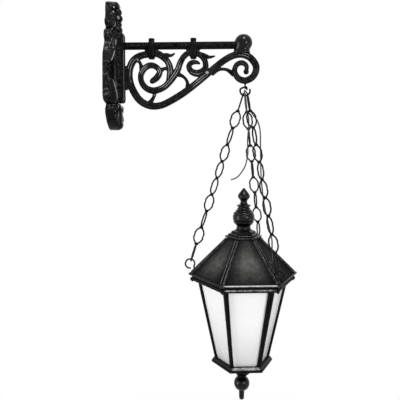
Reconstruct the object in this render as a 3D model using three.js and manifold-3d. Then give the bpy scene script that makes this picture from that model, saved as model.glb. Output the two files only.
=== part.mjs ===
// Wall lantern on a cast scroll bracket, hung by three chains. Millimetres, +Z up, +X out from the wall.
// The origin is the centre of the wall plate's back face.
import * as THREE from "three";
import { mergeVertices } from "three/addons/utils/BufferGeometryUtils.js";
import Module from "manifold-3d";

const wasm = await Module();
wasm.setup();

// Fits shared by the whole lantern
const fit = 0.3; // clearance between pieces that touch
const overrun = 2; // how far a cut runs past what it cuts

// Finishes
const finishes = {
  castBlack: { color: 0x1b1b1c, roughness: 0.42, metalness: 0.35 },
  chainBlack: { color: 0x222223, roughness: 0.45, metalness: 0.6 },
  steel: { color: 0x8c8f92, roughness: 0.35, metalness: 0.9 },
  opal: { color: 0xf1f1ee, roughness: 0.35, metalness: 0 },
  bulbGlass: { color: 0xf6f4ea, roughness: 0.2, metalness: 0 },
  porcelain: { color: 0xe4e2da, roughness: 0.4, metalness: 0 },
  rubber: { color: 0x141414, roughness: 0.6, metalness: 0 },
};

// Wall plate
const plateHalfHeight = 138;
const plateHalfWidth = 65;
const plateWall = 5;
const plateLandHalfWidth = 21;
const crownDepth = 15;
const bodyDepth = 12;
const tailDepth = 21;
const plateBevel = 5;
const plateReliefRadius = 4.2;
const petalLength = 44;
const petalWidth = 13;
const petalDepth = 11;
const voluteRadius = 9;
const voluteStandout = 5;

// Back bar
const barHalfWidth = 14;
const barThickness = 12.3;
const barStandoff = 20.3;
const barTop = 73;
const barBottom = -78.5;
const barCorner = 8;

// Arm tube
const armHeight = 45.2;
const armRadius = 7;
const armWall = 1.6;
const armSeatDepth = 7;
const armSides = 20;

// Scroll bracket, in the plane Y = 0, from the back bar to the hanging point
const hangReach = 298;
const scrollThickness = 13;
const scrollBar = 14.4;
const scrollWeb = 6.8;
const scrollDrop = 8.1; // the highest centreline below the arm
const padThickness = 12;

// Collars round the arm and the scroll
const collarRise = 15.4; // above the arm's axis
const collarDepth = 28.6; // below it
const collarTop = armHeight + collarRise;
const collarBottom = armHeight - collarDepth;
const collarHalfLength = 10.3;
const collarHalfWidth = 11.6;

// End knob
const knobSetback = 5; // short of the hanging point
const knobReach = hangReach - knobSetback;
const knobRise = 5.4; // the ball's centre above the arm's axis
const knobHeight = armHeight + knobRise;
const knobRadius = 19.6;
const knobNeckRadius = 14.6;
const knobFootRadius = 18.5;
const knobFootDepth = 12; // below the arm's axis
const knobFoot = armHeight - knobFootDepth;
const armEndGap = 10; // the arm's end short of the knob's axis
const armReach = knobReach - armEndGap;

// Screw-eye and hook under the end scroll
const screwEyeWire = 1.5;
const screwEyeRing = 4;
const screwEyeShank = 2.4;
const screwEyeSeat = 8;
const hookWire = 2;
const hookBowl = 10.8;
const hookTipAngle = 36;

// Chains
const linksPerChain = 10;
const linkWire = 1.5;
const linkHalfWidth = 10;
const linkGap = 0.75; // slack between two link bends

// Lantern
const hexSides = 6;
const turnAngle = 6.2; // degrees that the hexagon is turned about its axis
const roofFootRadius = 117.5;
const eaveOverhang = 5.5;
const eaveRadius = roofFootRadius + eaveOverhang;
const eaveHeight = -456;
const eaveLip = 2.8;
const roofTopRadius = 41;
const roofTopHeight = -379.5;
const roofNeckRadius = 27;
const roofNeckTop = -374.6;
const roofWall = 3;
const ribWidth = 10;
const ribHeight = 2.2;

const capRadius = 42;
const capHeight = 18.7;

const finialRadius = 22.5;
const finialHeight = 91;

const rimSetback = 6.5; // the rim's corner inside the eave's
const rimRadius = eaveRadius - rimSetback;
const rimHeight = 13;
const rimStep = 14.5; // the posts' top inside the rim
const postTopRadius = rimRadius - rimStep;
const postFootRadius = 62.8;
const postHeight = 178;
const postDepth = 4.6;
const flangeTop = 9;
const flangeFoot = 6;
const windowRise = 1.6; // window edge below the rim and above the base ring
const cornerLumpRadius = 4.6;
const lumpInset = 1;
const baseStep = 7; // the base ring outside the posts' foot
const baseRadius = postFootRadius + baseStep;
const baseHeight = 10.2;
const baseLedge = 2.6;
const baseLedgeWidth = 4.6;

const paneThickness = 3;

const panDepth = 29.5;
const panWall = 2.4;
const panNeckRadius = 15;

const ballRadius = 16.7;
const ballDrop = 22; // ball centre below the pan
const tailPinRadius = 5.5;
const tailPinEnd = -752;

const stemRadius = 5;
const stemWall = 1.2;
const stemReach = 21; // how far the stem stands up into the finial
const nutRadius = 9;
const nutHeight = 4.5;
const strapThickness = 3;
const strapWidth = 20;
const strapBearingLength = 4;

const holderRadius = 19;
const holderHeight = 46;
const holderSocketRadius = 14.4;
const holderSocketDepth = 27;
const bulbCapHeight = 30;
const holderSides = 12;
const bulbRadius = 29;
const bulbHeight = 88;

// Eyes on the hips
const hipEyeWire = 1.8;
const hipEyeRing = 10.4;
const hipEyeInset = 8.5; // the shank inside the hip's foot
const hipEyeFoot = roofFootRadius - hipEyeInset;
const hipEyeStandoff = 14.5; // ring centre above the hip
const hipEyeGapAngle = 48; // degrees left open beside the shank

// Cord
const cordRadius = 1.5;
const glandRadius = 3.6;
const glandLength = 9;
const glandInset = 35.5;
const glandHipRadius = roofFootRadius - glandInset; // the hip from the axis at the gland's height
const glandFromHip = 14; // along the right front panel

const rad = THREE.MathUtils.degToRad;
const v3 = (x, y, z) => new THREE.Vector3(x, y, z);
const group = new THREE.Group();

// Adds one named piece to the lantern
function addPiece(name, finish, geometry) {
  const mesh = new THREE.Mesh(geometry, new THREE.MeshStandardMaterial(finishes[finish]));
  mesh.name = name;
  group.add(mesh);
  return mesh;
}

// A closed geometry as a solid that can be cut and joined
function solid(geometry) {
  const g = geometry.clone();
  g.deleteAttribute("normal");
  g.deleteAttribute("uv");
  const merged = mergeVertices(g, fit / 1000);
  const made = new wasm.Manifold(
    new wasm.Mesh({
      numProp: 3,
      vertProperties: new Float32Array(merged.attributes.position.array),
      triVerts: new Uint32Array(merged.index.array),
    }),
  );
  return made;
}

// A solid back as a geometry
function shape(made) {
  const mesh = made.getMesh();
  const g = new THREE.BufferGeometry();
  g.setAttribute("position", new THREE.BufferAttribute(new Float32Array(mesh.vertProperties), 3));
  g.setIndex(new THREE.BufferAttribute(new Uint32Array(mesh.triVerts), 1));
  g.computeVertexNormals();
  return g;
}

// The corner radius of a six-sided hole that clears a round bar
const hexBore = (radius) => (radius + fit) / Math.cos(Math.PI / 6);

const join = (parts) => parts.reduce((sum, part) => sum.add(part));
const cut = (body, tools) => tools.reduce((rest, tool) => rest.subtract(tool), body);

// A closed skin through rings of points, each ring with as many points as the next
function loft(rings) {
  const count = rings[0].length;
  const points = rings.flat();
  const index = [];
  for (let r = 0; r + 1 < rings.length; r++) {
    for (let i = 0; i < count; i++) {
      const a = r * count + i;
      const b = r * count + ((i + 1) % count);
      index.push(a, b, b + count);
      index.push(a, b + count, a + count);
    }
  }
  const last = (rings.length - 1) * count;
  for (let i = 1; i + 1 < count; i++) {
    index.push(0, i + 1, i);
    index.push(last, last + i, last + i + 1);
  }
  const volume = signedVolume(points, index);
  if (volume < 0) index.reverse();
  const g = new THREE.BufferGeometry();
  const flat = points.flatMap((p) => [p.x, p.y, p.z]);
  g.setAttribute("position", new THREE.Float32BufferAttribute(flat, 3));
  g.setIndex(index);
  return g;
}

function signedVolume(points, index) {
  let sum = 0;
  for (let i = 0; i < index.length; i += 3) {
    const [a, b, c] = [points[index[i]], points[index[i + 1]], points[index[i + 2]]];
    sum += a.dot(v3(0, 0, 0).crossVectors(b, c));
  }
  return sum;
}

// A revolved profile of [radius, height] points, placed at X, Y
function turned(profile, segments, x = 0, y = 0, start = 0) {
  const points = profile.map(([r, z]) => new THREE.Vector2(r, z));
  const g = new THREE.LatheGeometry(points, segments, start);
  g.rotateX(Math.PI / 2);
  g.translate(x, y, 0);
  return facingOut(g);
}

// The same geometry with its faces turned out
function facingOut(g) {
  const merged = g.index ? g : mergeVertices(g);
  const at = merged.attributes.position;
  const points = Array.from({ length: at.count }, (_, i) => v3(at.getX(i), at.getY(i), at.getZ(i)));
  const index = Array.from(merged.index.array);
  if (signedVolume(points, index) < 0) index.reverse();
  merged.setIndex(index);
  return merged;
}

// Six-sided pieces have a corner at the lantern's own turn
const hexagonal = (profile) => turned(profile, hexSides, hangReach, 0, rad(turnAngle) + Math.PI / 2);

// A wire of even radius along points
function wire(points, radius, sides, steps) {
  const section = new THREE.Shape(
    Array.from({ length: sides }, (_, i) => {
      const a = (2 * Math.PI * i) / sides;
      return new THREE.Vector2(radius * Math.cos(a), radius * Math.sin(a));
    }),
  );
  const path = new THREE.CatmullRomCurve3(points, false, "centripetal");
  return facingOut(new THREE.ExtrudeGeometry(section, { extrudePath: path, steps, bevelEnabled: false }));
}

// A round bar from one point to another
function rod(from, to, radius, sides) {
  const length = from.distanceTo(to);
  const g = new THREE.CylinderGeometry(radius, radius, length, sides);
  g.translate(0, length / 2, 0);
  const along = to.clone().sub(from).normalize();
  g.applyQuaternion(new THREE.Quaternion().setFromUnitVectors(v3(0, 1, 0), along));
  g.translate(from.x, from.y, from.z);
  return g;
}

function block(sizeX, sizeY, sizeZ, x, y, z) {
  return new THREE.BoxGeometry(sizeX, sizeY, sizeZ).translate(x, y, z);
}

// Scroll strokes: centreline places in the bracket's plane with the bar's width as a share of scrollBar.
// Places are shares of the reach from the wall to the hanging point, and of the same length in height.
const crestShare = 0.101; // the highest centreline
const endFootShares = { height: -0.102, width: 0.98 }; // the end scroll's lowest centreline
const padShares = { reach: 0.148, top: 0.0067, foot: -0.1678 };
const collarReachShares = { inner: 0.3128, outer: 0.6201 };
const scrollLevel = (share) => armHeight - armRadius - scrollDrop - (crestShare - share) * hangReach;
const endFootHalf = (endFootShares.width * scrollBar) / 2;
const scrollUnderside = scrollLevel(endFootShares.height) - endFootHalf - fit / 2;
const strokeShares = {
  main: [
    [0.318, 0.094, 0.8], [0.245, 0.088, 0.9], [0.181, 0.051, 0.95], [0.15, -0.012, 0.95],
    [0.148, -0.094, 0.95], [0.178, -0.172, 0.97], [0.232, -0.243, 1], [0.3, -0.281, 1],
    [0.376, -0.279, 1], [0.45, -0.248, 1], [0.53, -0.203, 1], [0.6, -0.154, 1],
    [0.71, -0.065, 1], [0.79, 0.002, 1], [0.86, 0.053, 1], [0.925, 0.082, 1],
    [0.983, 0.084, 1], [1.038, 0.058, 1.02], [1.078, -0.005, 1.05], [1.06, -0.069, 1.02],
    [1.002, -0.102, 0.98], [0.948, -0.084, 0.92], [0.922, -0.036, 0.84], [0.936, 0.01, 0.78],
    [0.976, 0.026, 0.74], [1.008, 0.002, 0.68], [1.006, -0.038, 0.62],
  ],
  curl: [
    [0.332, -0.09, 0.62], [0.359, -0.071, 0.74], [0.374, -0.036, 0.82], [0.352, -0.005, 0.86],
    [0.312, 0.012, 0.88], [0.27, -0.002, 0.88], [0.238, -0.042, 0.88], [0.232, -0.082, 0.88],
    [0.246, -0.126, 0.9], [0.28, -0.16, 0.95], [0.33, -0.173, 0.98], [0.4, -0.15, 0.9],
    [0.458, -0.095, 0.86], [0.506, -0.026, 0.82], [0.53, 0.034, 0.8], [0.556, 0.078, 0.8],
    [0.594, 0.101, 0.82], [0.632, 0.098, 0.84], [0.672, 0.082, 0.86], [0.704, 0.042, 0.88],
    [0.708, -0.012, 0.92], [0.656, -0.048, 1.04], [0.606, -0.034, 0.92], [0.588, 0.005, 0.78],
    [0.602, 0.033, 0.6], [0.626, 0.037, 0.48], [0.65, 0.03, 0.36],
  ],
  ringSide: [
    [0.318, 0.094, 0.8], [0.358, 0.09, 0.84], [0.398, 0.072, 0.88], [0.434, 0.036, 0.86],
    [0.452, -0.012, 0.86], [0.45, -0.07, 0.8], [0.436, -0.11, 0.7],
  ],
  leafInner: [[0.386, 0.078, 0.8], [0.424, 0.09, 0.52], [0.456, 0.086, 0.34], [0.484, 0.099, 0.2]],
  leafOuter: [[0.664, 0.088, 0.9], [0.704, 0.08, 0.7], [0.734, 0.071, 0.42], [0.778, 0.074, 0.18]],
};
const webShares = {
  upperLeft: [[0.2, 0.058], [0.226, 0.03], [0.24, -0.016]],
  right: [[0.374, -0.03], [0.41, -0.012], [0.444, -0.02]],
  lower: [[0.334, -0.176], [0.328, -0.215], [0.3, -0.262]],
  strut: [[0.5, -0.052], [0.544, -0.07], [0.574, -0.106], [0.578, -0.17]],
  underArch: [[0.752, -0.052], [0.808, -0.022], [0.862, -0.022], [0.916, -0.056]],
};
const strokeSteps = { main: 42, curl: 36, ringSide: 7, leafInner: 4, leafOuter: 4 };
const webSteps = 3;
// Half of the bar's moulded section, as shares of half its width and half its thickness
const mouldingShares = [
  [-1, -0.5], [-0.5, -1], [0.5, -1], [1, -0.5], [1, 0.5], [0.5, 1], [-0.5, 1], [-1, 0.5],
];
const plainShares = [[-1, -0.6], [1, -0.6], [1, 0.6], [-1, 0.6]];

// One bar of the scroll, swept along its centreline with its own width at each place
function stroke(places, steps, grow, sectionShares) {
  const line = new THREE.CatmullRomCurve3(
    places.map(([x, z]) => v3(x * hangReach, 0, scrollLevel(z))),
    false,
    "centripetal",
  );
  const widths = new THREE.CatmullRomCurve3(
    places.map(([x, z, w]) => v3(w, 0, 0)),
    false,
    "catmullrom",
    0.5,
  );
  const rings = [];
  for (let i = 0; i <= steps; i++) {
    const t = i / steps;
    const centre = line.getPoint(t);
    const along = line.getTangent(t);
    const across = v3(-along.z, 0, along.x);
    const half = (widths.getPoint(t).x * scrollBar) / 2 + grow;
    const deep = scrollThickness / 2 + grow;
    rings.push(
      sectionShares.map(([u, w]) =>
        centre.clone().addScaledVector(across, u * half).add(v3(0, w * deep, 0)),
      ),
    );
  }
  return loft(rings);
}

// The scroll bracket, or the room that it takes with a clearance all round
function scrollSolid(grow) {
  const bars = Object.entries(strokeShares).map(([name, places]) =>
    solid(stroke(places, strokeSteps[name], grow, mouldingShares)),
  );
  const webs = Object.values(webShares).map((places) => {
    const widened = places.map(([x, z]) => [x, z, scrollWeb / scrollBar]);
    return solid(stroke(widened, webSteps, grow, plainShares));
  });
  const padFront = barStandoff + barThickness + fit - grow;
  const [padTop, padBottom] = [scrollLevel(padShares.top), scrollLevel(padShares.foot)];
  const padHeight = padTop - padBottom + 2 * grow;
  const padLength = padShares.reach * hangReach - padFront + grow;
  const pad = block(
    padLength,
    padThickness + 2 * grow,
    padHeight,
    padFront + padLength / 2,
    0,
    (padTop + padBottom) / 2,
  );
  return join([...bars, ...webs, solid(pad)]);
}

// Wall plate: three lobes, hollow behind, with a land down the middle of the back
const crownShares = [
  [0.4, 0.44], [0.45, 0.56], [0.62, 0.61], [0.64, 0.665], [0.55, 0.7], [0.53, 0.86],
  [0.47, 0.94], [0.28, 0.985], [0, 1],
];
const bodyShares = [
  [0.4, 0.56], [0.73, 0.5], [0.765, 0.4], [0.67, 0.345], [0.83, 0.21], [0.93, 0.14],
  [0.97, -0.2], [1, -0.49], [0.83, -0.585], [0.45, -0.6],
];
const tailShares = [
  [0.42, -0.52], [0.56, -0.61], [0.69, -0.69], [0.68, -0.75], [0.53, -0.86], [0.3, -0.95],
  [0.14, -0.995], [0, -1],
];

// The right-hand edge of a lobe and its mirror image, as one outline drawn in X = width, Y = height
function lobeOutline(edgeShares, inset) {
  const edge = edgeShares.map(([w, h]) => {
    const [halfWidth, halfHeight] = [w * plateHalfWidth, h * (plateHalfHeight - inset)];
    return new THREE.Vector2(Math.max(halfWidth - inset, 0), halfHeight);
  });
  const mirrored = edge
    .filter((p) => p.x > 0)
    .map((p) => new THREE.Vector2(-p.x, p.y))
    .reverse();
  return new THREE.Shape([...edge, ...mirrored]);
}

// An outline in the wall's plane, pushed out from the wall
function pushedOut(outline, from, depth, bevel) {
  const options = { depth: depth - bevel, bevelEnabled: bevel > 0, bevelSegments: 1 };
  if (bevel > 0) {
    options.bevelSize = bevel;
    options.bevelOffset = -bevel;
    options.bevelThickness = bevel;
  }
  const g = new THREE.ExtrudeGeometry(outline, options);
  const toWall = new THREE.Matrix4().makeBasis(v3(0, 1, 0), v3(0, 0, 1), v3(1, 0, 0));
  g.applyMatrix4(toWall);
  g.translate(from, 0, 0);
  return facingOut(g);
}

function oval(halfX, halfY, halfZ, place, tilt, widthSegments = 6, heightSegments = 5) {
  const g = new THREE.SphereGeometry(1, widthSegments, heightSegments);
  g.scale(halfX, halfY, halfZ);
  g.rotateX(tilt);
  g.translate(place.x, place.y, place.z);
  return g;
}

const lobes = [
  { edge: crownShares, depth: crownDepth },
  { edge: bodyShares, depth: bodyDepth },
  { edge: tailShares, depth: tailDepth },
];
const petalShares = [[-0.9, 0.78], [-0.48, 0.94], [0, 1], [0.48, 0.94], [0.9, 0.78]];
const sideScrollShares = [
  [0.42, 0.47], [0.56, 0.48], [0.62, 0.4], [0.5, 0.36], [0.52, 0.26], [0.74, 0.16],
  [0.82, -0.02], [0.8, -0.24], [0.84, -0.4], [0.74, -0.52], [0.56, -0.5], [0.58, -0.4],
];
const leafShares = [
  [0.45, 0.16, 0.62, 30], [0.48, 0.0, 0.7, 22], [0.5, -0.17, 0.7, 14], [0.43, -0.34, 0.6, 4],
];
const tailLeafShares = [[-0.25, 0.72, 24], [0, 0.9, 0], [0.25, 0.72, -24]];
const voluteShares = [[0.52, 0.64, 1], [0.8, -0.47, 0.8], [0.54, -0.69, 1.2]];
const petalSpread = 0.62; // radians that a petal leans for its share

function wallPlate() {
  const shell = join(
    lobes.map(({ edge, depth }) => solid(pushedOut(lobeOutline(edge, 0), 0, depth, plateBevel))),
  );
  const spine = solid(
    block(
      barStandoff - fit,
      2 * plateLandHalfWidth,
      barTop - barBottom + 2 * plateWall,
      (barStandoff - fit) / 2,
      0,
      (barTop + barBottom) / 2,
    ),
  );
  const petals = petalShares.map(([lean, length]) => {
    const tilt = -lean * petalSpread;
    const reach = (petalLength * length) / 2;
    const foot = v3(crownDepth, lean * petalWidth, plateHalfHeight * 0.56);
    const centre = foot.add(v3(0, -Math.sin(tilt) * reach, Math.cos(tilt) * reach));
    return solid(oval(petalDepth, petalWidth / 2, reach, centre, tilt));
  });
  const scrolls = [-1, 1].map((side) => {
    const path = sideScrollShares.map(([w, h]) =>
      v3(bodyDepth, side * w * plateHalfWidth, h * plateHalfHeight),
    );
    return solid(wire(path, plateReliefRadius, 5, 15));
  });
  const leaves = leafShares.flatMap(([w, h, length, lean]) =>
    [-1, 1].map((side) => {
      const place = v3(bodyDepth, side * w * plateHalfWidth, h * plateHalfHeight);
      const half = (petalLength * length) / 2;
      return solid(oval(plateReliefRadius, plateReliefRadius, half, place, side * rad(lean), 6, 4));
    }),
  );
  const tailLeaves = tailLeafShares.map(([w, length, lean]) => {
    const half = (petalLength * length) / 2;
    const place = v3(tailDepth, w * plateHalfWidth, -plateHalfHeight * 0.78);
    return solid(oval(petalDepth * 0.86, petalWidth / 2, half, place, rad(lean)));
  });
  const volutes = voluteShares.flatMap(([w, h, depth]) =>
    [-1, 1].map((side) => {
      const from = v3(0, side * w * plateHalfWidth, h * plateHalfHeight);
      const to = from.clone().add(v3(depth * crownDepth + voluteStandout, 0, 0));
      return solid(rod(from, to, voluteRadius, 10));
    }),
  );
  const front = join([shell, spine, ...petals, ...scrolls, ...leaves, ...tailLeaves, ...volutes]);
  const land = block(
    tailDepth * 2,
    2 * plateLandHalfWidth,
    barTop - barBottom,
    0,
    0,
    (barTop + barBottom) / 2,
  );
  const hollows = lobes.map(({ edge, depth }) => {
    const inner = pushedOut(lobeOutline(edge, plateWall), -overrun, depth - plateWall + overrun, 0);
    return cut(solid(inner), [solid(land)]);
  });
  const wallSide = block(
    2 * plateHalfWidth,
    4 * plateHalfWidth,
    4 * plateHalfHeight,
    -plateHalfWidth,
    0,
    0,
  );
  return shape(cut(front, [barSolid(fit), solid(wallSide), ...hollows]));
}

// The back bar without its bore, or the room that it takes
function barSolid(grow) {
  const halfHeight = (barTop - barBottom) / 2 + grow;
  const outline = new THREE.Shape();
  const [w, h, r] = [barHalfWidth + grow, halfHeight, barCorner + grow];
  outline.moveTo(-w + r, -h);
  outline.lineTo(w - r, -h);
  outline.absarc(w - r, -h + r, r, -Math.PI / 2, 0, false);
  outline.lineTo(w, h - r);
  outline.absarc(w - r, h - r, r, 0, Math.PI / 2, false);
  outline.lineTo(-w + r, h);
  outline.absarc(-w + r, h - r, r, Math.PI / 2, Math.PI, false);
  outline.lineTo(-w, -h + r);
  outline.absarc(-w + r, -h + r, r, Math.PI, 1.5 * Math.PI, false);
  const depth = barThickness + 2 * grow;
  const options = { depth, bevelEnabled: false, curveSegments: 4 };
  const g = new THREE.ExtrudeGeometry(outline, options);
  g.applyMatrix4(new THREE.Matrix4().makeBasis(v3(0, 1, 0), v3(0, 0, 1), v3(1, 0, 0)));
  g.translate(barStandoff - grow, 0, (barTop + barBottom) / 2);
  return solid(facingOut(g));
}

// Back bar: let into the plate and bored for the arm
function backBar() {
  const front = barStandoff + barThickness;
  const bore = rod(
    v3(front - armSeatDepth - fit, 0, armHeight),
    v3(front + overrun, 0, armHeight),
    armRadius + fit,
    armSides,
  );
  return shape(cut(barSolid(0), [solid(bore)]));
}

function armTube() {
  const start = barStandoff + barThickness - armSeatDepth;
  const profile = [
    [armRadius - armWall, start], [armRadius, start], [armRadius, armReach],
    [armRadius - armWall, armReach], [armRadius - armWall, start],
  ];
  const g = turned(profile, armSides);
  g.rotateY(Math.PI / 2);
  g.translate(0, 0, armHeight);
  return facingOut(g);
}

const armRoom = () =>
  solid(rod(v3(0, 0, armHeight), v3(armReach + fit, 0, armHeight), armRadius + fit, armSides));

// Collar section sizes from the bottom to the top: [height share, length share, width share]
const collarShares = [
  [0, 0.3, 0.36], [0.06, 0.58, 0.7], [0.3, 0.84, 0.96], [0.55, 1, 1], [0.74, 0.86, 0.94],
  [0.92, 0.58, 0.62], [1, 0.4, 0.36],
];
const collarSides = 8;

function collar(x, room) {
  const height = collarTop - collarBottom;
  const rings = collarShares.map(([h, length, width]) =>
    Array.from({ length: collarSides }, (_, i) => {
      const a = (2 * Math.PI * (i + 0.5)) / collarSides;
      return v3(
        x + collarHalfLength * length * Math.cos(a),
        collarHalfWidth * width * Math.sin(a),
        collarBottom + h * height,
      );
    }),
  );
  return shape(cut(solid(loft(rings)), [armRoom(), room]));
}

function endKnob(room) {
  const ball = [];
  for (let a = -50; a <= 60; a += 22) {
    ball.push([knobRadius * Math.cos(rad(a)), knobHeight + knobRadius * Math.sin(rad(a))]);
  }
  const top = knobHeight + knobRadius * 0.95;
  const profile = [
    [0, knobFoot - scrollBar / 2], [knobFootRadius * 0.86, knobFoot - scrollBar / 2],
    [knobFootRadius, knobFoot - scrollBar / 5],
    [knobNeckRadius, (knobFoot + ball[0][1]) / 2 - fit], ...ball, [0, top],
  ];
  const body = turned(profile, 14, knobReach, 0);
  const below = block(
    knobFootRadius * 4,
    knobFootRadius * 4,
    knobFootRadius * 2,
    knobReach,
    0,
    knobFoot - scrollBar / 3 - knobFootRadius,
  );
  return shape(cut(solid(body), [armRoom(), room, solid(below)]));
}

// Screw-eye: a ring across the arm's line, on a shank let up into the scroll
const screwEyeCentre = scrollUnderside - screwEyeRing - screwEyeWire - fit;
const hookPivotHeight = screwEyeCentre - screwEyeRing;

function screwEye() {
  const ring = new THREE.TorusGeometry(screwEyeRing, screwEyeWire, 6, 14);
  ring.rotateY(Math.PI / 2);
  ring.translate(hangReach, 0, screwEyeCentre);
  const shank = rod(
    v3(hangReach, 0, screwEyeCentre + screwEyeRing),
    v3(hangReach, 0, scrollUnderside + screwEyeSeat),
    screwEyeShank,
    10,
  );
  return shape(join([solid(ring), solid(shank)]));
}

const screwEyeHole = () =>
  solid(
    rod(
      v3(hangReach, 0, scrollUnderside - scrollBar),
      v3(hangReach, 0, scrollUnderside + screwEyeSeat + fit),
      screwEyeShank + fit,
      10,
    ),
  );

// Hook: a tight curl over the ring's foot, running out into an open bowl
const hookCurl = screwEyeWire + hookWire + fit;
const hookBowlCentre = hookPivotHeight - hookBowl * 0.43;
const hookBottom = hookBowlCentre - hookBowl;

function hookPoint(degrees) {
  const a = rad(degrees);
  return v3(hangReach + hookBowl * Math.cos(a), 0, hookBowlCentre + hookBowl * Math.sin(a));
}

function sHook() {
  const points = [];
  for (let a = -50; a <= 130; a += 30) {
    const bend = rad(a);
    const x = hangReach + hookCurl * Math.cos(bend);
    points.push(v3(x, 0, hookPivotHeight + hookCurl * Math.sin(bend)));
  }
  for (let a = 160; a <= 360 + hookTipAngle; a += 27.8) {
    points.push(hookPoint(a));
  }
  return wire(points, hookWire, 6, 26);
}

// Link: a ring drawn out into a kinked oval with narrow ends
const linkShares = [
  [0, 1], [0.42, 0.9], [0.88, 0.42], [1, 0], [0.88, -0.42], [0.42, -0.9],
];
const linkSides = 5;

function linkGeometry(halfLength) {
  const right = linkShares.map(([w, l]) => new THREE.Vector2(w * linkHalfWidth, l * halfLength));
  const left = right.map((p) => p.clone().negate());
  const outline = [...right, ...left];
  const count = outline.length;
  const g = new THREE.TorusGeometry(1, 0.5, linkSides, count);
  const at = g.attributes.position;
  for (let i = 0; i < at.count; i++) {
    const [x, y, z] = [at.getX(i), at.getY(i), at.getZ(i)];
    const angle = (Math.atan2(y, x) + 2 * Math.PI) % (2 * Math.PI);
    const k = Math.round((angle / (2 * Math.PI)) * count) % count;
    const here = outline[(count - k) % count];
    const before = outline[(2 * count - k + 1) % count];
    const after = outline[(2 * count - k - 1) % count];
    const along = after.clone().sub(before).normalize();
    const outward = new THREE.Vector2(along.y, -along.x);
    const rise = (Math.hypot(x, y) - 1) * 2 * linkWire;
    at.setXYZ(i, here.x + outward.x * rise, here.y + outward.y * rise, z * 2 * linkWire);
  }
  return facingOut(mergeVertices(stripped(g)));
}

function stripped(g) {
  g.deleteAttribute("normal");
  g.deleteAttribute("uv");
  return g;
}

// Hips, their eyes and the chains
const eyeCorners = {
  left: { corner: 3, twist: 180, quarterTurns: 10, hookAngle: -26 },
  front: { corner: 5, twist: 50, quarterTurns: 10, hookAngle: 28 },
  back: { corner: 1, twist: 0, quarterTurns: 9, hookAngle: 2 },
};
const cornerAngle = (corner) => rad(turnAngle + 60 * corner);
const radial = (angle) => v3(Math.cos(angle), Math.sin(angle), 0);
const axisPoint = (height) => v3(hangReach, 0, height);
const hipSlope = (roofTopHeight - eaveHeight - eaveLip / 2) / (roofFootRadius - roofTopRadius);
const hipHeight = (radius) => roofTopHeight - (radius - roofTopRadius) * hipSlope;

function hipEyePlace({ corner, twist }) {
  const out = radial(cornerAngle(corner));
  const foot = axisPoint(hipHeight(hipEyeFoot) + ribHeight).addScaledVector(out, hipEyeFoot);
  const normal = out.clone().multiplyScalar(hipSlope).add(v3(0, 0, 1)).normalize();
  const side = v3(0, 0, 0).crossVectors(normal, v3(0, 0, 0).crossVectors(out, v3(0, 0, 1)));
  side.normalize().applyAxisAngle(normal, rad(twist));
  const centre = foot.clone().addScaledVector(normal, hipEyeStandoff);
  const ringNormal = v3(0, 0, 0).crossVectors(normal, side).normalize();
  return { foot, normal, side, centre, ringNormal };
}

function hipEye(place) {
  const { foot, normal, side, centre } = place;
  const inside = foot.clone().addScaledVector(normal, -2 * roofWall - ribHeight);
  const neck = foot.clone().addScaledVector(normal, hipEyeWire);
  const points = [inside, foot, neck];
  const open = 360 - hipEyeGapAngle;
  for (let step = 0; step <= 11; step++) {
    const a = rad(180 - 14 - (open * step) / 11);
    points.push(
      centre
        .clone()
        .addScaledVector(normal, hipEyeRing * Math.cos(a))
        .addScaledVector(side, hipEyeRing * Math.sin(a)),
    );
  }
  return wire(points, hipEyeWire, 5, 18);
}

// Rolls each link about its chain, so that the bottom link crosses its eye's ring
function chain(name, spec) {
  const eye = hipEyePlace(spec);
  const top = hookPoint(270 + spec.hookAngle);
  const away = eye.centre.clone().sub(top).normalize();
  const inRing = away.clone().addScaledVector(eye.ringNormal, -away.dot(eye.ringNormal)).normalize();
  const seat = eye.centre.clone().addScaledVector(inRing, -hipEyeRing);
  const along = seat.clone().sub(top).normalize();
  const span = seat.distanceTo(top);
  const lapTop = hookWire + linkWire + linkGap;
  const lapFoot = hipEyeWire + linkWire + linkGap;
  const lap = 2 * linkWire + linkGap;
  const length = (span + lapTop + lapFoot + (linksPerChain - 1) * lap) / linksPerChain;
  const acrossX = v3(1, 0, 0).addScaledVector(along, -along.x).normalize();
  const acrossY = v3(0, 0, 0).crossVectors(along, acrossX).normalize();
  const rollOf = (vector) => Math.atan2(vector.dot(acrossY), vector.dot(acrossX));
  const firstRoll = Math.PI / 2;
  let wholeTurn = rollOf(eye.ringNormal) - firstRoll;
  const wanted = (-Math.PI / 2) * spec.quarterTurns;
  wholeTurn += Math.PI * Math.round((wanted - wholeTurn) / Math.PI);
  for (let i = 0; i < linksPerChain; i++) {
    const roll = firstRoll + (wholeTurn * i) / (linksPerChain - 1);
    const across = acrossX.clone().multiplyScalar(Math.cos(roll)).addScaledVector(acrossY, Math.sin(roll));
    const depth = v3(0, 0, 0).crossVectors(across, along);
    const centre = top.clone().addScaledVector(along, -lapTop + length / 2 + i * (length - lap));
    const g = linkGeometry(length / 2);
    g.applyMatrix4(new THREE.Matrix4().makeBasis(across, along, depth).setPosition(centre));
    addPiece(`chain_${name}_link_${String(i + 1).padStart(2, "0")}`, "chainBlack", facingOut(g));
  }
}

// Roof: a six-sided shell with a raised rib down each hip
function roofRib(angle) {
  const out = radial(angle);
  const across = v3(-out.y, out.x, 0);
  const section = (radius, height, half) =>
    [[-1, -1], [1, -1], [0.6, 1], [-0.6, 1]].map(([u, w]) =>
      axisPoint(height + (w > 0 ? ribHeight : -roofWall))
        .addScaledVector(out, radius)
        .addScaledVector(across, u * half),
    );
  const footRadius = roofFootRadius + ribHeight;
  return loft([
    section(roofTopRadius, roofTopHeight, ribWidth / 2),
    section(footRadius, hipHeight(footRadius) + ribHeight / 2, ribWidth / 2),
  ]);
}

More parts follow.
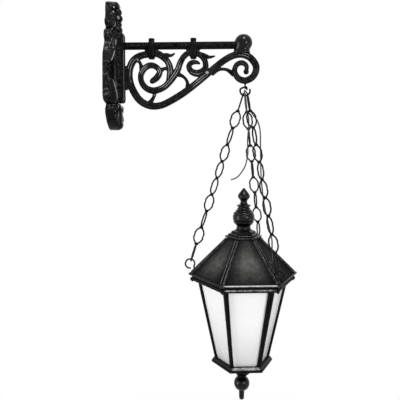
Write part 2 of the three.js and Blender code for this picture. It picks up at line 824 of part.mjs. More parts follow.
function glandPlace() {
  const out = radial(cornerAngle(5.5));
  const across = v3(-out.y, out.x, 0);
  const apothem = glandHipRadius * Math.cos(rad(30));
  const place = axisPoint(hipHeight(glandHipRadius)).addScaledVector(out, apothem);
  place.addScaledVector(across, glandFromHip - glandHipRadius / 2);
  const normal = out.clone().multiplyScalar(hipSlope / Math.cos(rad(30))).add(v3(0, 0, 1)).normalize();
  return { place, normal };
}

function roof() {
  const lipTop = eaveHeight;
  const lipFoot = eaveHeight - eaveLip;
  const inner = roofWall / Math.cos(Math.atan(hipSlope));
  const bore = hexBore(stemRadius);
  const profile = [
    [bore, roofNeckTop], [roofNeckRadius, roofNeckTop], [roofNeckRadius, roofTopHeight],
    [roofTopRadius, roofTopHeight], [roofFootRadius, hipHeight(roofFootRadius)],
    [roofFootRadius, lipTop], [eaveRadius, lipTop], [eaveRadius, lipFoot],
    [roofFootRadius - roofWall * 2, lipFoot], [roofFootRadius - roofWall * 2, lipFoot + fit * 2],
    [roofTopRadius, roofTopHeight - inner], [roofNeckRadius - roofWall, roofTopHeight - inner / 2],
    [roofNeckRadius - roofWall, roofNeckTop - roofWall], [bore, roofNeckTop - roofWall],
    [bore, roofNeckTop],
  ];
  const shell = solid(hexagonal(profile));
  const ribs = Array.from({ length: hexSides }, (_, i) => solid(roofRib(cornerAngle(i))));
  const shanks = Object.values(eyeCorners).map((spec) => {
    const { foot, normal } = hipEyePlace(spec);
    const inside = foot.clone().addScaledVector(normal, -4 * roofWall);
    const outside = foot.clone().addScaledVector(normal, hipEyeStandoff / 2);
    return solid(rod(inside, outside, hipEyeWire + fit, 8));
  });
  const { place, normal } = glandPlace();
  const glandHole = rod(
    place.clone().addScaledVector(normal, -3 * roofWall),
    place.clone().addScaledVector(normal, 3 * roofWall),
    glandRadius + fit,
    10,
  );
  return shape(cut(join([shell, ...ribs]), [...shanks, solid(glandHole)]));
}

// Cap: [radius share, height share] from its edge up to its crown
const capShares = [
  [0.76, 0], [0.97, 0.02], [1, 0.09], [0.97, 0.18], [0.83, 0.24], [0.8, 0.4], [0.66, 0.52],
  [0.64, 0.68], [0.5, 0.82], [0.37, 1],
];
const capFoot = roofNeckTop + fit;
const capTop = capFoot + capHeight;

function roofCap() {
  const bore = hexBore(stemRadius);
  const outer = capShares.map(([r, h]) => [r * capRadius, capFoot + h * capHeight]);
  return hexagonal([[bore, capFoot], ...outer, [bore, capTop], [bore, capFoot]]);
}

// Finial: [radius share, height share] from the foot to the tip
const finialShares = [
  [0.66, 0], [0.6, 0.05], [0.84, 0.12], [0.99, 0.22], [0.98, 0.32], [0.76, 0.42], [0.7, 0.445],
  [0.71, 0.465], [0.52, 0.5], [0.66, 0.535], [0.65, 0.56], [0.32, 0.6], [0.31, 0.67],
  [0.56, 0.79], [0.45, 0.88], [0.2, 0.96], [0, 1],
];

function topFinial() {
  const foot = capTop + fit;
  const socketTop = capTop + stemReach + fit;
  const bore = stemRadius + fit;
  const outer = finialShares.map(([r, h]) => [r * finialRadius, foot + h * finialHeight]);
  const profile = [[0, socketTop], [bore, socketTop], [bore, foot], ...outer];
  return turned(profile, 14, hangReach, 0);
}

// Frame: rim, posts and base ring in one casting, as a six-sided shell with six windows
const rimTop = eaveHeight - eaveLip - fit;
const postTopHeight = rimTop - rimHeight - fit;
const postFootHeight = postTopHeight - postHeight;
const postRadius = (height) =>
  postFootRadius +
  ((postTopRadius - postFootRadius) * (height - postFootHeight)) / (postTopHeight - postFootHeight);
const flange = (height) =>
  flangeFoot + ((flangeTop - flangeFoot) * (height - postFootHeight)) / (postTopHeight - postFootHeight);
const postInset = postDepth / Math.cos(rad(30));
const baseTop = postFootHeight;
const baseFoot = postFootHeight - baseHeight;
const ledgeTop = baseFoot + baseLedge;
const panRadius = postRadius(ledgeTop) - postInset - fit;

// Rim and base ring: [outward share, downward share] of their own heights
const rimShares = [[0, 0], [-0.11, 0.58], [0.03, 0.68], [0.02, 0.9], [-0.18, 1]];
const baseShares = [[-0.42, 0.04], [0, 0.54], [0, 0.9], [-0.1, 1]];

function windowCutter(face) {
  const out = radial(face);
  const across = v3(-out.y, out.x, 0);
  const section = (height) => {
    const half = postRadius(height) / 2 - flange(height);
    return [[-1, -1], [1, -1], [1, 1], [-1, 1]].map(([u, w]) =>
      axisPoint(height)
        .addScaledVector(out, postRadius(height) * Math.cos(rad(30)) + w * 2.5 * postDepth)
        .addScaledVector(across, u * half),
    );
  };
  return loft([section(postFootHeight + windowRise), section(postTopHeight - windowRise)]);
}

function strapRoom(grow) {
  const halfLength = (postRadius(rimTop) - postInset) * Math.cos(rad(30)) + strapBearingLength + grow;
  const g = block(2 * halfLength, strapWidth + 2 * grow, strapThickness + grow, 0, 0, 0);
  g.rotateZ(rad(turnAngle + 30));
  g.translate(hangReach, 0, rimTop - strapThickness / 2 + (grow > 0 ? grow / 2 : 0));
  return g;
}

function lanternFrame() {
  const inner = (height) => postRadius(height) - postInset;
  const ledgeRadius = panRadius - baseLedgeWidth;
  const rim = rimShares.map(([r, h]) => [rimRadius + r * rimHeight, rimTop - h * rimHeight]);
  const base = baseShares.map(([r, h]) => [baseRadius + r * baseHeight, baseTop - h * baseHeight]);
  const profile = [
    [inner(rimTop), rimTop], ...rim, [postTopRadius, postTopHeight], [postFootRadius, postFootHeight],
    ...base, [ledgeRadius, baseFoot], [ledgeRadius, ledgeTop], [inner(ledgeTop), ledgeTop],
    [inner(rimTop), rimTop],
  ];
  const shell = solid(hexagonal(profile));
  const windows = Array.from({ length: hexSides }, (_, i) =>
    solid(windowCutter(rad(turnAngle + 30 + 60 * i))),
  );
  const lumps = Array.from({ length: hexSides }, (_, i) => {
    const corner = radial(cornerAngle(i)).multiplyScalar(rimRadius - lumpInset);
    const place = axisPoint(rimTop - rimHeight * 0.72).add(corner);
    return solid(oval(cornerLumpRadius, cornerLumpRadius, cornerLumpRadius * 1.1, place, 0, 6, 5));
  });
  const body = cut(shell, [...windows, solid(strapRoom(fit))]);
  return shape(join([body, ...lumps]));
}

// Pane: a tapered plate behind its window, standing on the ledge
const paneNames = ["right_back", "back", "left_back", "left_front", "front", "right_front"];
const paneTop = rimTop - strapThickness - 3 * fit;

function pane(face) {
  const out = radial(face);
  const across = v3(-out.y, out.x, 0);
  const section = (height) => {
    const apothem = (postRadius(height) - postInset) * Math.cos(rad(30)) - fit;
    const half = (postRadius(height) - postInset) / 2 - paneThickness * Math.tan(rad(30)) - fit;
    return [[-1, 0], [1, 0], [1, -paneThickness], [-1, -paneThickness]].map(([u, w]) =>
      axisPoint(height).addScaledVector(out, apothem + w).addScaledVector(across, u * half),
    );
  };
  return loft([section(ledgeTop + panWall + 2 * fit), section(paneTop)]);
}

// Pan: a six-sided dish on the ledge, closing the lantern below
function basePlate() {
  const top = ledgeTop + fit + panWall;
  const ledgeRadius = panRadius - baseLedgeWidth;
  const through = ledgeRadius - fit;
  const foot = baseFoot - panDepth;
  const bore = hexBore(stemRadius);
  const profile = [
    [panRadius, ledgeTop + fit], [panRadius, top], [through - panWall, top],
    [through * 0.6, baseFoot - panDepth * 0.42 + panWall], [panNeckRadius, foot + 2 * panWall],
    [bore, foot + 2 * panWall], [bore, foot], [panNeckRadius, foot],
    [through * 0.6 + panWall / 2, baseFoot - panDepth * 0.42], [through, baseFoot - fit],
    [through, ledgeTop + fit], [panRadius, ledgeTop + fit],
  ];
  return hexagonal(profile);
}

function bottomFinial() {
  const seat = baseFoot - panDepth - fit;
  const floor = baseFoot - panDepth + 2 * panWall + fit;
  const ballCentre = seat - ballDrop + fit;
  const ball = [];
  for (let a = 62; a >= -66; a -= 21) {
    ball.push([ballRadius * Math.cos(rad(a)), ballCentre + ballRadius * Math.sin(rad(a))]);
  }
  const profile = [
    [0, floor + nutHeight], [nutRadius * 0.9, floor + nutHeight], [nutRadius * 0.9, floor],
    [stemRadius, floor], [stemRadius, seat], [panNeckRadius, seat],
    [ball[0][0], ball[0][1] + fit], ...ball,
    [tailPinRadius, ballCentre - ballRadius * 1.06], [tailPinRadius * 0.9, tailPinEnd + tailPinRadius],
    [tailPinRadius * 0.6, tailPinEnd + tailPinRadius * 0.3], [0, tailPinEnd],
  ];
  return turned(profile, 14, hangReach, 0);
}

// Stem: a threaded tube with a nut each side of the strap, up to the finial
const strapTop = rimTop;
const strapFoot = rimTop - strapThickness;
const stemEngagement = 2 * nutHeight;
const holderTop = strapFoot - nutHeight - 4 * fit;

function stemTube() {
  const top = capTop + stemReach;
  const foot = holderTop - stemEngagement;
  const inner = stemRadius - stemWall;
  const profile = [
    [inner, foot], [stemRadius, foot], [stemRadius, strapFoot - nutHeight - fit],
    [nutRadius, strapFoot - nutHeight - fit], [nutRadius, strapFoot - fit], [stemRadius, strapFoot - fit],
    [stemRadius, strapTop + fit], [nutRadius, strapTop + fit], [nutRadius, strapTop + nutHeight + fit],
    [stemRadius, strapTop + nutHeight + fit], [stemRadius, top], [inner, top], [inner, foot],
  ];
  return turned(profile, 10, hangReach, 0);
}

function bridgeStrap() {
  const hole = rod(
    axisPoint(rimTop - strapThickness * 2),
    axisPoint(rimTop + strapThickness),
    stemRadius + fit,
    12,
  );
  return shape(cut(solid(strapRoom(0)), [solid(hole)]));
}

// Lamp holder: [radius share, height share] of its outside, from the top down
const holderShares = [[0.5, 1], [0.92, 0.87], [1, 0.74], [1, 0.11], [0.94, 0]];

function lampHolder() {
  const foot = holderTop - holderHeight;
  const socketTop = foot + holderSocketDepth;
  const bore = stemRadius + fit;
  const stemFoot = holderTop - stemEngagement - fit;
  const outer = holderShares.map(([r, h]) => [r * holderRadius, foot + h * holderHeight]);
  const profile = [
    [bore, holderTop], ...outer, [holderSocketRadius, foot], [holderSocketRadius, socketTop],
    [bore, (socketTop + stemFoot) / 2], [bore, stemFoot], [bore, holderTop],
  ];
  return turned(profile, holderSides, hangReach, 0);
}

function lampBulb() {
  const top = holderTop - holderHeight + holderSocketDepth - fit;
  const capFootHeight = top - bulbCapHeight;
  const capOuter = holderSocketRadius * Math.cos(Math.PI / holderSides) - fit;
  const centre = top - bulbHeight + bulbRadius;
  const profile = [[0, top], [capOuter * 0.5, top], [capOuter, top - bulbCapHeight * 0.14]];
  profile.push([capOuter, capFootHeight]);
  for (let a = 52; a > -90; a -= 26) {
    profile.push([bulbRadius * Math.cos(rad(a)), centre + bulbRadius * Math.sin(rad(a))]);
  }
  profile.push([0, centre - bulbRadius]);
  return turned(profile, holderSides, hangReach, 0);
}

// Cord: up from the gland beside the front chain, through the hook's bowl and down to a bare end
const cordRoute = [
  [357, -55.2, -407], [356, -57, -394], [355.6, -58.5, -382], [355, -60, -369], [352.8, -60, -360],
  [349.9, -58, -346], [348, -57, -339], [344.4, -53, -321], [341.6, -49, -310], [339, -45, -296],
  [337, -40, -282], [334.8, -36, -261], [333.2, -29, -241], [332.4, -26, -221], [332.2, -22, -200],
  [332, -17, -180], [331.8, -13, -163], [331.6, -9, -145], [330, -5, -131], [324.9, -1, -116],
  [317.5, 3, -106], [311.2, 7, -95], [308, 9.5, -80], [305.8, 9.5, -66], [301.6, 5.5, -55.5],
  [297, 0, -51.6], [296.6, -6, -55], [297, -10.8, -65], [298, -11.6, -80], [300.6, -9.6, -94],
  [304.4, -6, -104], [306.4, -3, -113], [306.8, -1, -124], [306.2, 0, -136], [304.9, 0, -157],
  [305, 0, -173], [305.8, 0, -185], [304.6, 0, -196], [301.4, 0, -212], [297.2, 0, -222],
  [291.8, 0, -230.5], [284.9, 0, -239], [277.8, 0, -243.8], [269, 0, -246.6],
];

function gland() {
  const { place, normal } = glandPlace();
  const inside = place.clone().addScaledVector(normal, -glandLength / 2);
  const outside = place.clone().addScaledVector(normal, glandLength / 2);
  return rod(inside, outside, glandRadius, 10);
}

function powerCord() {
  const { place, normal } = glandPlace();
  const start = place.clone().addScaledVector(normal, glandLength / 2 + fit);
  const straight = start.clone().addScaledVector(normal, 2 * cordRadius);
  const points = [start, straight, ...cordRoute.map(([x, y, z]) => v3(x, y, z))];
  return wire(points, cordRadius, 8, 58);
}

// The whole lantern
const scrollRoom = scrollSolid(fit);
addPiece("wall_plate", "castBlack", wallPlate());
addPiece("back_bar", "castBlack", backBar());
addPiece("arm_tube", "castBlack", armTube());
addPiece("scroll_bracket", "castBlack", shape(cut(scrollSolid(0), [screwEyeHole()])));
addPiece("collar_inner", "castBlack", collar(collarReachShares.inner * hangReach, scrollRoom));
addPiece("collar_outer", "castBlack", collar(collarReachShares.outer * hangReach, scrollRoom));
addPiece("end_knob", "castBlack", endKnob(scrollRoom));
addPiece("screw_eye", "chainBlack", screwEye());
addPiece("s_hook", "chainBlack", sHook());
for (const [name, spec] of Object.entries(eyeCorners)) {
  addPiece(`eye_${name}`, "chainBlack", hipEye(hipEyePlace(spec)));
  chain(name, spec);
}
addPiece("top_finial", "castBlack", topFinial());
addPiece("roof_cap", "castBlack", roofCap());
addPiece("roof", "castBlack", roof());
addPiece("lantern_frame", "castBlack", lanternFrame());
paneNames.forEach((name, i) => addPiece(`pane_${name}`, "opal", pane(rad(turnAngle + 30 + 60 * i))));
addPiece("base_plate", "castBlack", basePlate());
addPiece("bottom_finial", "castBlack", bottomFinial());
addPiece("stem_tube", "steel", stemTube());
addPiece("bridge_strap", "steel", bridgeStrap());
addPiece("lamp_holder", "porcelain", lampHolder());
addPiece("lamp_bulb", "bulbGlass", lampBulb());
addPiece("cord_gland", "rubber", gland());
addPiece("power_cord", "rubber", powerCord());

export default group;
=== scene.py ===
"""Looks of a black wall lantern on a scroll bracket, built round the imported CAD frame.

Lengths are millimetres in the part's own frame (+X out of the wall, +Z up) until a mesh is made.
"""

import math

import bpy
import bmesh
import numpy as np
from mathutils import Matrix, Vector


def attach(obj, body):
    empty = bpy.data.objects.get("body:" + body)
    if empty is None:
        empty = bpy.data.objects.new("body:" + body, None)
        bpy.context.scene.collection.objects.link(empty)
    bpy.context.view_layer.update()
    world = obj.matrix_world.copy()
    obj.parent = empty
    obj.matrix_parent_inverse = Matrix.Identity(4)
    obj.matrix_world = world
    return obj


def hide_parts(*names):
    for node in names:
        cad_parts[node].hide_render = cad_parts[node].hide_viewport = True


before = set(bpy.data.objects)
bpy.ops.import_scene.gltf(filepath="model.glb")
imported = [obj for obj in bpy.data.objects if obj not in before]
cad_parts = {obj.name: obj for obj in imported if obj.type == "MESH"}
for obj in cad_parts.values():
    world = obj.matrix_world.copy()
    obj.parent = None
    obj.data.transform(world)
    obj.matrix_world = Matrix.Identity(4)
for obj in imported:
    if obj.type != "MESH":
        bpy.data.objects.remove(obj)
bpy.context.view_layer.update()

MM = 0.001
HANG = 298.0  # the lantern's axis, out from the wall
TURN = 6.2  # degrees from +X to the lantern's first corner
FIT = 0.3  # clearance between pieces that touch
CORNERS = [TURN + 60 * k for k in range(6)]  # the bearings of the lantern's corners


def cos(degrees):
    return math.cos(math.radians(degrees))


def sin(degrees):
    return math.sin(math.radians(degrees))


def circle(count):
    """The cosine and sine of count even steps round a turn."""
    return [(math.cos(a), math.sin(a)) for a in (2 * math.pi * k / count for k in range(count))]


def add_object(name, data):
    made = bpy.data.objects.new(name, data)
    bpy.context.scene.collection.objects.link(made)
    return made


# ---------------------------------------------------------------- camera
def aim(place, yaw, pitch, roll):
    """A camera matrix that looks along +Y, turned to -X, pitched down and rolled, in degrees."""
    forward = Vector((-sin(yaw) * cos(pitch), cos(yaw) * cos(pitch), -sin(pitch)))
    right = Vector((cos(yaw), sin(yaw), 0))
    up = right.cross(forward)
    rolled_right = cos(roll) * right + sin(roll) * up
    rolled_up = -sin(roll) * right + cos(roll) * up
    axes = Matrix((rolled_right, rolled_up, -forward)).transposed().to_4x4()
    return Matrix.Translation(place) @ axes


camera_data = bpy.data.cameras.new("camera")
camera_data.sensor_width = 36
camera_data.lens = 40.56
camera_data.shift_y = -0.0281
camera_data.clip_start, camera_data.clip_end = 0.05, 40
camera = add_object("camera", camera_data)
camera.matrix_world = aim(Vector((0.2535, -1.0, -0.1895)), 3.04, 4.44, 0.23)
bpy.context.scene.camera = camera


# ---------------------------------------------------------------- materials
class Graph:
    """A node tree written as calls, where a value is a number, a tuple or a node's output."""

    def __init__(self, owner, output):
        owner.use_nodes = True
        self.nodes, self.links = owner.node_tree.nodes, owner.node_tree.links
        self.nodes.clear()
        self.out = self.nodes.new(output)

    def put(self, node, key, value):
        if isinstance(value, bpy.types.NodeSocket):
            self.links.new(value, node.inputs[key])
        else:
            node.inputs[key].default_value = value

    def add(self, kind, *values, **settings):
        """A node with its settings, and values for its first inputs."""
        node = self.nodes.new("ShaderNode" + kind)
        for setting, value in settings.items():
            setattr(node, setting, value)
        for key, value in enumerate(values):
            self.put(node, key, value)
        return node

    def calc(self, operation, *values, clamp=False):
        return self.add("Math", *values, operation=operation, use_clamp=clamp).outputs[0]

    def product(self, value, *factors):
        for factor in factors:
            value = self.calc("MULTIPLY", value, factor)
        return value

    def vector(self, operation, *values):
        node = self.add("VectorMath", *values, operation=operation)
        return node.outputs["Value" if operation in ("DOT_PRODUCT", "DISTANCE") else "Vector"]

    def spread(self, value, low, high, to_low=0.0, to_high=1.0):
        """value carried from low..high to to_low..to_high and held at both ends."""
        return self.add("MapRange", value, low, high, to_low, to_high).outputs["Result"]


class Surface(Graph):
    """A principled material, with the textures that the finishes share."""

    def __init__(self, name):
        self.material = bpy.data.materials.new(name)
        super().__init__(self.material, "ShaderNodeOutputMaterial")
        self.shader = self.add("BsdfPrincipled")
        self.put(self.out, "Surface", self.shader.outputs["BSDF"])
        self.coords = self.add("TexCoord").outputs["Object"]
        self.geometry = self.add("NewGeometry").outputs

    def noise(self, scale, detail=4.0, rough=0.55, coords=None):
        node = self.add("TexNoise", self.coords if coords is None else coords)
        for key, value in (("Scale", scale), ("Detail", detail), ("Roughness", rough)):
            self.put(node, key, value)
        return node.outputs["Fac"]

    def patches(self, texture, low, high, to_low=0.0, to_high=1.0, coords=None):
        """Noise of (scale, detail, roughness) whose values low..high are spread."""
        return self.spread(self.noise(*texture, coords=coords), low, high, to_low, to_high)

    def mix(self, amount, first, second):
        node = self.add("Mix", amount, data_type="RGBA")
        self.put(node, 6, first)
        self.put(node, 7, second)
        return node.outputs[2]

    def bump(self, height, strength, distance, under=None):
        node = self.add("Bump", strength, distance)
        self.put(node, "Height", height)
        if under is not None:
            self.put(node, "Normal", under)
        return node.outputs["Normal"]

    def stretched(self, scale):
        node = self.add("Mapping", self.coords)
        self.put(node, "Scale", scale)
        return node.outputs["Vector"]

    def from_axis(self):
        """The place seen from the lantern's upright axis."""
        return self.vector("SUBTRACT", self.coords, (HANG * MM, 0.0, 0.0))

    def toward(self, degrees):
        """The cosine of the angle round the lantern between a bearing and the place."""
        level = self.vector("MULTIPLY", self.from_axis(), (1.0, 1.0, 0.0))
        bearing = (cos(degrees), sin(degrees), 0.0)
        return self.vector("DOT_PRODUCT", self.vector("NORMALIZE", level), bearing)

    def rubbed_and_highlit(self, bare, scale, low):
        """Edges rubbed through in patches, which also serve as painted highlights on sharp crests;
        bare is how sharp they start to be, and end.
        """
        sharp = self.spread(self.geometry["Pointiness"], *bare)
        return self.product(sharp, self.patches((scale, 3.0, 0.6), low, low + 0.2, 0.0, 0.85))

    def finish(self, colour, roughness, normal, levels):
        inputs = {"Base Color": colour, "Roughness": roughness, "Normal": normal, **levels}
        for key, value in inputs.items():
            self.put(self.shader, key, value)
        return self.material


def grey(value, tint=(1.0, 1.0, 1.0)):
    return tuple(value * t for t in tint) + (1.0,)


def painted(
    name, greys, roughness, specular,
    grain=(620.0, 0.0002), peel=0.0006, bare=(0.52, 0.6), side=None,
):
    """Satin paint over metal: patchy colour, dust on what faces up, rubbed edges that are also
    painted highlights, cast grain.

    greys are dark and light patches, rubbed edges (also painted crest highlights) and dust;
    grain is a scale and a depth, and peel the depth of its orange peel. With side, a bearing round
    the lantern, only the faces toward it keep these greys as a painted highlight; the rest is
    painted dark.
    """
    dark, light, worn_and_highlit, dust = greys
    s = Surface(name)
    lighter = grey(light, (1.0, 0.995, 0.985))
    colour = s.mix(s.patches((45.0, 5.0, 0.6), 0.35, 0.7), grey(dark), lighter)
    facing = s.add("SeparateXYZ", s.geometry["Normal"])
    settled = s.product(
        s.spread(facing.outputs["Z"], 0.25, 0.95),
        s.patches((26.0, 6.0, 0.65), 0.36, 0.66, 0.0, 0.8),
    )
    colour = s.mix(settled, colour, grey(dust, (1.0, 0.98, 0.94)))
    # Rubbed edges: partly wear, partly painted highlights along sharp crests.
    colour = s.mix(s.rubbed_and_highlit(bare, 140.0, 0.42), colour, grey(worn_and_highlit))
    # Painted highlight: only faces toward the side bearing keep these greys; the other faces are
    # painted dark.
    if side is not None:
        colour = s.mix(s.spread(s.toward(side), 0.882, 0.905, 1.0, 0.0), colour, grey(0.012))
    shine = s.patches((90.0, 4.0, 0.6), 0.3, 0.7, roughness - 0.07, roughness + 0.1)
    coarse = s.bump(s.noise(120.0, 3.0, 0.5), 0.35, peel)
    fine = s.bump(s.noise(grain[0], 2.0, 0.6), 0.5, grain[1], coarse)
    return s.finish(colour, shine, fine, {"Specular IOR Level": specular})


def roof_paint():
    """Satin paint: soft patches of painted sheen and shade, streaks down the slopes, fine grain."""
    s = Surface("black_paint_roof")
    split = s.add("SeparateXYZ", s.from_axis()).outputs
    bearing = s.calc("ARCTAN2", split["Y"], split["X"])
    from_hip = s.calc("PINGPONG", s.calc("SUBTRACT", bearing, math.radians(TURN)), math.radians(30))
    # Painted sheen in each panel's middle, painted shade toward the eave, the cap and the hips.
    above_eave = s.spread(split["Z"], -0.453, -0.428, 0.25, 1.0)
    below_cap = s.spread(split["Z"], -0.41, -0.376, 1.0, 0.3)
    sheen_and_edge_shade = s.product(above_eave, below_cap, s.spread(from_hip, 0.06, 0.36, 0.12, 1.0))
    clouds = s.patches((19.0, 6.0, 0.62), 0.34, 0.66, 0.25, 1.0, s.stretched((1.0, 1.0, 0.35)))
    # Painted shade over the right front panel.
    shade_on_right_front = s.spread(s.toward(TURN - 30), 0.8, 0.9, 1.0, 0.3)
    broad = s.product(clouds, sheen_and_edge_shade, shade_on_right_front)
    fine = s.patches((150.0, 4.0, 0.6), 0.35, 0.7, 0.5, 1.0)
    colour = s.mix(s.product(broad, fine), grey(0.006), grey(0.135, (1.0, 0.985, 0.96)))
    colour = s.mix(s.rubbed_and_highlit((0.52, 0.6), 110.0, 0.4), colour, grey(0.15))
    swell = s.bump(s.noise(30.0, 3.0, 0.5), 0.5, 0.0016)
    grain = s.bump(s.noise(420.0, 2.0, 0.6), 0.5, 0.0003, swell)
    shine = s.spread(broad, 0.0, 1.0, 0.24, 0.46)
    return s.finish(colour, shine, grain, {"Specular IOR Level": 0.002})


def opal_glass(name, across, half_foot, half_rise, shade):
    """Milky glass: white by its edges, greyer in the middle and toward its foot; shade darkens it
    all over as painted shade.

    across is the pane's own sideways direction; half_foot and half_rise give its half width.
    """
    s = Surface(name)
    height = s.add("SeparateXYZ", s.coords).outputs["Z"]
    low = s.spread(height, -0.66, -0.5, 1.0, 0.12)
    width = s.spread(height, -0.66, -0.46, half_foot, half_foot + half_rise)
    along = s.vector("DOT_PRODUCT", s.from_axis(), across)
    middle = s.spread(s.calc("ABSOLUTE", s.calc("DIVIDE", along, width)), 0.62, 0.98, 1.0, 0.12)
    greyer = s.product(low, low, middle, s.patches((16.0, 5.0, 0.6), 0.25, 0.75, 0.72, 1.0))
    colour = s.mix(greyer, grey(0.93 * shade), grey(0.5 * shade))
    shine = s.patches((60.0,), 0.3, 0.7, 0.24, 0.36)
    ripple = s.bump(s.noise(34.0, 2.0), 0.2, 0.0003)
    return s.finish(colour, shine, ripple, {"Specular IOR Level": 0.3})


def plated_steel():
    """Zinc-plated steel with fine turning marks and dull spots."""
    s = Surface("plated_steel")
    marks = s.noise(220.0, 3.0, 0.6, s.stretched((1.0, 1.0, 9.0)))
    spots = s.noise(70.0, 4.0, 0.6)
    colour = s.mix(s.spread(spots, 0.4, 0.7), (0.5, 0.505, 0.51, 1.0), (0.33, 0.325, 0.31, 1.0))
    shine = s.spread(spots, 0.3, 0.7, 0.28, 0.48)
    return s.finish(colour, shine, s.bump(marks, 0.3, 0.0002), {"Metallic": 0.95})


def fired(name, base, stain, roughness, coat):
    """Porcelain or milky lamp glass: an even glaze with faint stains."""
    s = Surface(name)
    colour = s.mix(s.patches((50.0, 5.0, 0.65), 0.5, 0.75, 0.0, 0.6), base, stain)
    shine = s.patches((80.0,), 0.3, 0.7, roughness, roughness + 0.1)
    normal = s.bump(s.noise(160.0, 2.0), 0.15, 0.0003)
    return s.finish(colour, shine, normal, {"Coat Weight": coat, "Coat Roughness": 0.08})


def rubber():
    """Black flex: matt, slightly greyed, with a fine even grain."""
    s = Surface("black_rubber")
    colour = s.mix(s.patches((160.0, 4.0), 0.35, 0.7), grey(0.009), grey(0.026))
    shine = s.patches((240.0,), 0.3, 0.7, 0.36, 0.5)
    return s.finish(colour, shine, s.bump(s.noise(1500.0, 2.0), 0.25, 0.0001), {})


HIGHLIT_BEARING = 270 + TURN
CAST = {"grain": (620.0, 0.0001), "peel": 0.0003, "bare": (0.54, 0.66)}
LINE = {"grain": (700.0, 0.0002), "peel": 0.0002}
black_paint = painted("black_paint", (0.001, 0.006, 0.03, 0.007), 0.27, 0.045)
black_wire = painted("black_wire", (0.0012, 0.005, 0.02, 0.006), 0.26, 0.06, (900.0, 0.0001))
cast_paint = painted("black_paint_cast", (0.0015, 0.017, 0.26, 0.012), 0.19, 0.04, **CAST)
plate_paint = painted("black_paint_plate", (0.001, 0.008, 0.26, 0.008), 0.2, 0.09, **CAST)
bar_paint = painted("black_paint_bar", (0.001, 0.005, 0.05, 0.006), 0.35, 0.02)
turned_paint = painted(
    "black_paint_turned", (0.0003, 0.001, 0.05, 0.001), 0.2, 0.2, (500.0, 0.00001), 0.0
)
cap_paint = painted(
    "black_paint_cap", (0.001, 0.012, 0.12, 0.008), 0.25, 0.035, (500.0, 0.0001), 0.0002
)
# Pale lines on the roof's rib beads: painted highlights.
rib_highlight_paint = painted("black_paint_rib_highlight", (0.004, 0.085, 0.16, 0.02), 0.2, 0.3, **LINE)
# Painted highlights: pale greys on the lantern's front faces only, for the cap lines, rim beads,
# base band and eave bead.
front_highlight_paint = painted(
    "black_paint_front_highlight", (0.03, 0.42, 0.55, 0.3), 0.22, 0.1, side=HIGHLIT_BEARING, **LINE
)
eave_highlight_paint = painted("black_paint_eave_highlight", (0.3, 0.62, 0.7, 0.5), 0.22, 0.1, side=HIGHLIT_BEARING, **LINE)
# Pale lines along scroll bars and plate crests, and plate beads: painted highlights.
highlight_line_paint = painted("black_paint_highlight_line", (0.02, 0.34, 0.45, 0.12), 0.2, 0.2, **LINE)
black_roof = roof_paint()
steel = plated_steel()
porcelain = fired("porcelain", (0.78, 0.765, 0.72, 1.0), (0.5, 0.46, 0.38, 1.0), 0.18, 0.6)
bulb_glass = fired("bulb_glass", (0.86, 0.85, 0.8, 1.0), (0.78, 0.76, 0.7, 1.0), 0.22, 0.3)
flex = rubber()


# ---------------------------------------------------------------- mesh helpers
def cast_object(name, form, crease=38):
    """A mesh object from (points, faces) in mm; edges sharper than crease degrees stay sharp."""
    points, faces = form
    mesh = bpy.data.meshes.new(name)
    mesh.from_pydata([(p[0] * MM, p[1] * MM, p[2] * MM) for p in points], [], faces)
    work = bmesh.new()
    work.from_mesh(mesh)
    bmesh.ops.remove_doubles(work, verts=work.verts, dist=1e-6)
    bmesh.ops.recalc_face_normals(work, faces=work.faces)
    work.to_mesh(mesh)
    work.free()
    mesh.shade_smooth()
    mesh.set_sharp_from_angle(angle=math.radians(crease))
    return add_object(name, mesh)


def finish_piece(made, body, paint, node, slot="black_paint"):
    made.data.materials.clear()
    made.data.materials.append(paint)
    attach(made, body)
    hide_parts(node)
    return made


def piece(name, form, body, paint, node, crease=38, slot="black_paint"):
    return finish_piece(cast_object(name, form, crease), body, paint, node, slot)


def merge(parts):
    """Several (points, faces) as one."""
    points, faces = [], []
    for part_points, part_faces in parts:
        base = len(points)
        points.extend(part_points)
        faces.extend([tuple(i + base for i in face) for face in part_faces])
    return points, faces


def spline(points, per):
    """Centripetal Catmull-Rom through points, per steps to a span."""
    places = [np.array(p, float) for p in points]
    places = [2 * places[0] - places[1], *places, 2 * places[-1] - places[-2]]
    out = []
    for p0, p1, p2, p3 in zip(places, places[1:], places[2:], places[3:]):
        t0 = 0.0
        t1 = t0 + max(np.linalg.norm(p1 - p0), 1e-6) ** 0.5
        t2 = t1 + max(np.linalg.norm(p2 - p1), 1e-6) ** 0.5
        t3 = t2 + max(np.linalg.norm(p3 - p2), 1e-6) ** 0.5
        for step in range(per):
            t = t1 + (t2 - t1) * step / per
            a1 = (t1 - t) / (t1 - t0) * p0 + (t - t0) / (t1 - t0) * p1
            a2 = (t2 - t) / (t2 - t1) * p1 + (t - t1) / (t2 - t1) * p2
            a3 = (t3 - t) / (t3 - t2) * p2 + (t - t2) / (t3 - t2) * p3
            b1 = (t2 - t) / (t2 - t0) * a1 + (t - t0) / (t2 - t0) * a2
            b2 = (t3 - t) / (t3 - t1) * a2 + (t - t1) / (t3 - t1) * a3
            out.append((t2 - t) / (t2 - t1) * b1 + (t - t1) / (t2 - t1) * b2)
    out.append(places[-2])
    return out


def loft(rings, closed=False):
    """A skin through rings of equal counts, capped, or closed from the last ring to the first."""
    count = len(rings[0])
    points = [tuple(p) for ring in rings for p in ring]
    faces = []
    for r in range(len(rings) if closed else len(rings) - 1):
        a, b = r * count, ((r + 1) % len(rings)) * count
        for i in range(count):
            j = (i + 1) % count
            faces.append((a + i, a + j, b + j, b + i))
    if not closed:
        faces.append(tuple(reversed(range(count))))
        faces.append(tuple((len(rings) - 1) * count + i for i in range(count)))
    return points, faces


# How a wire's end is rounded: [lift, shrink] as shares of its radius
END_SHARES = ((0.45, 0.9), (0.8, 0.6), (0.96, 0.28))


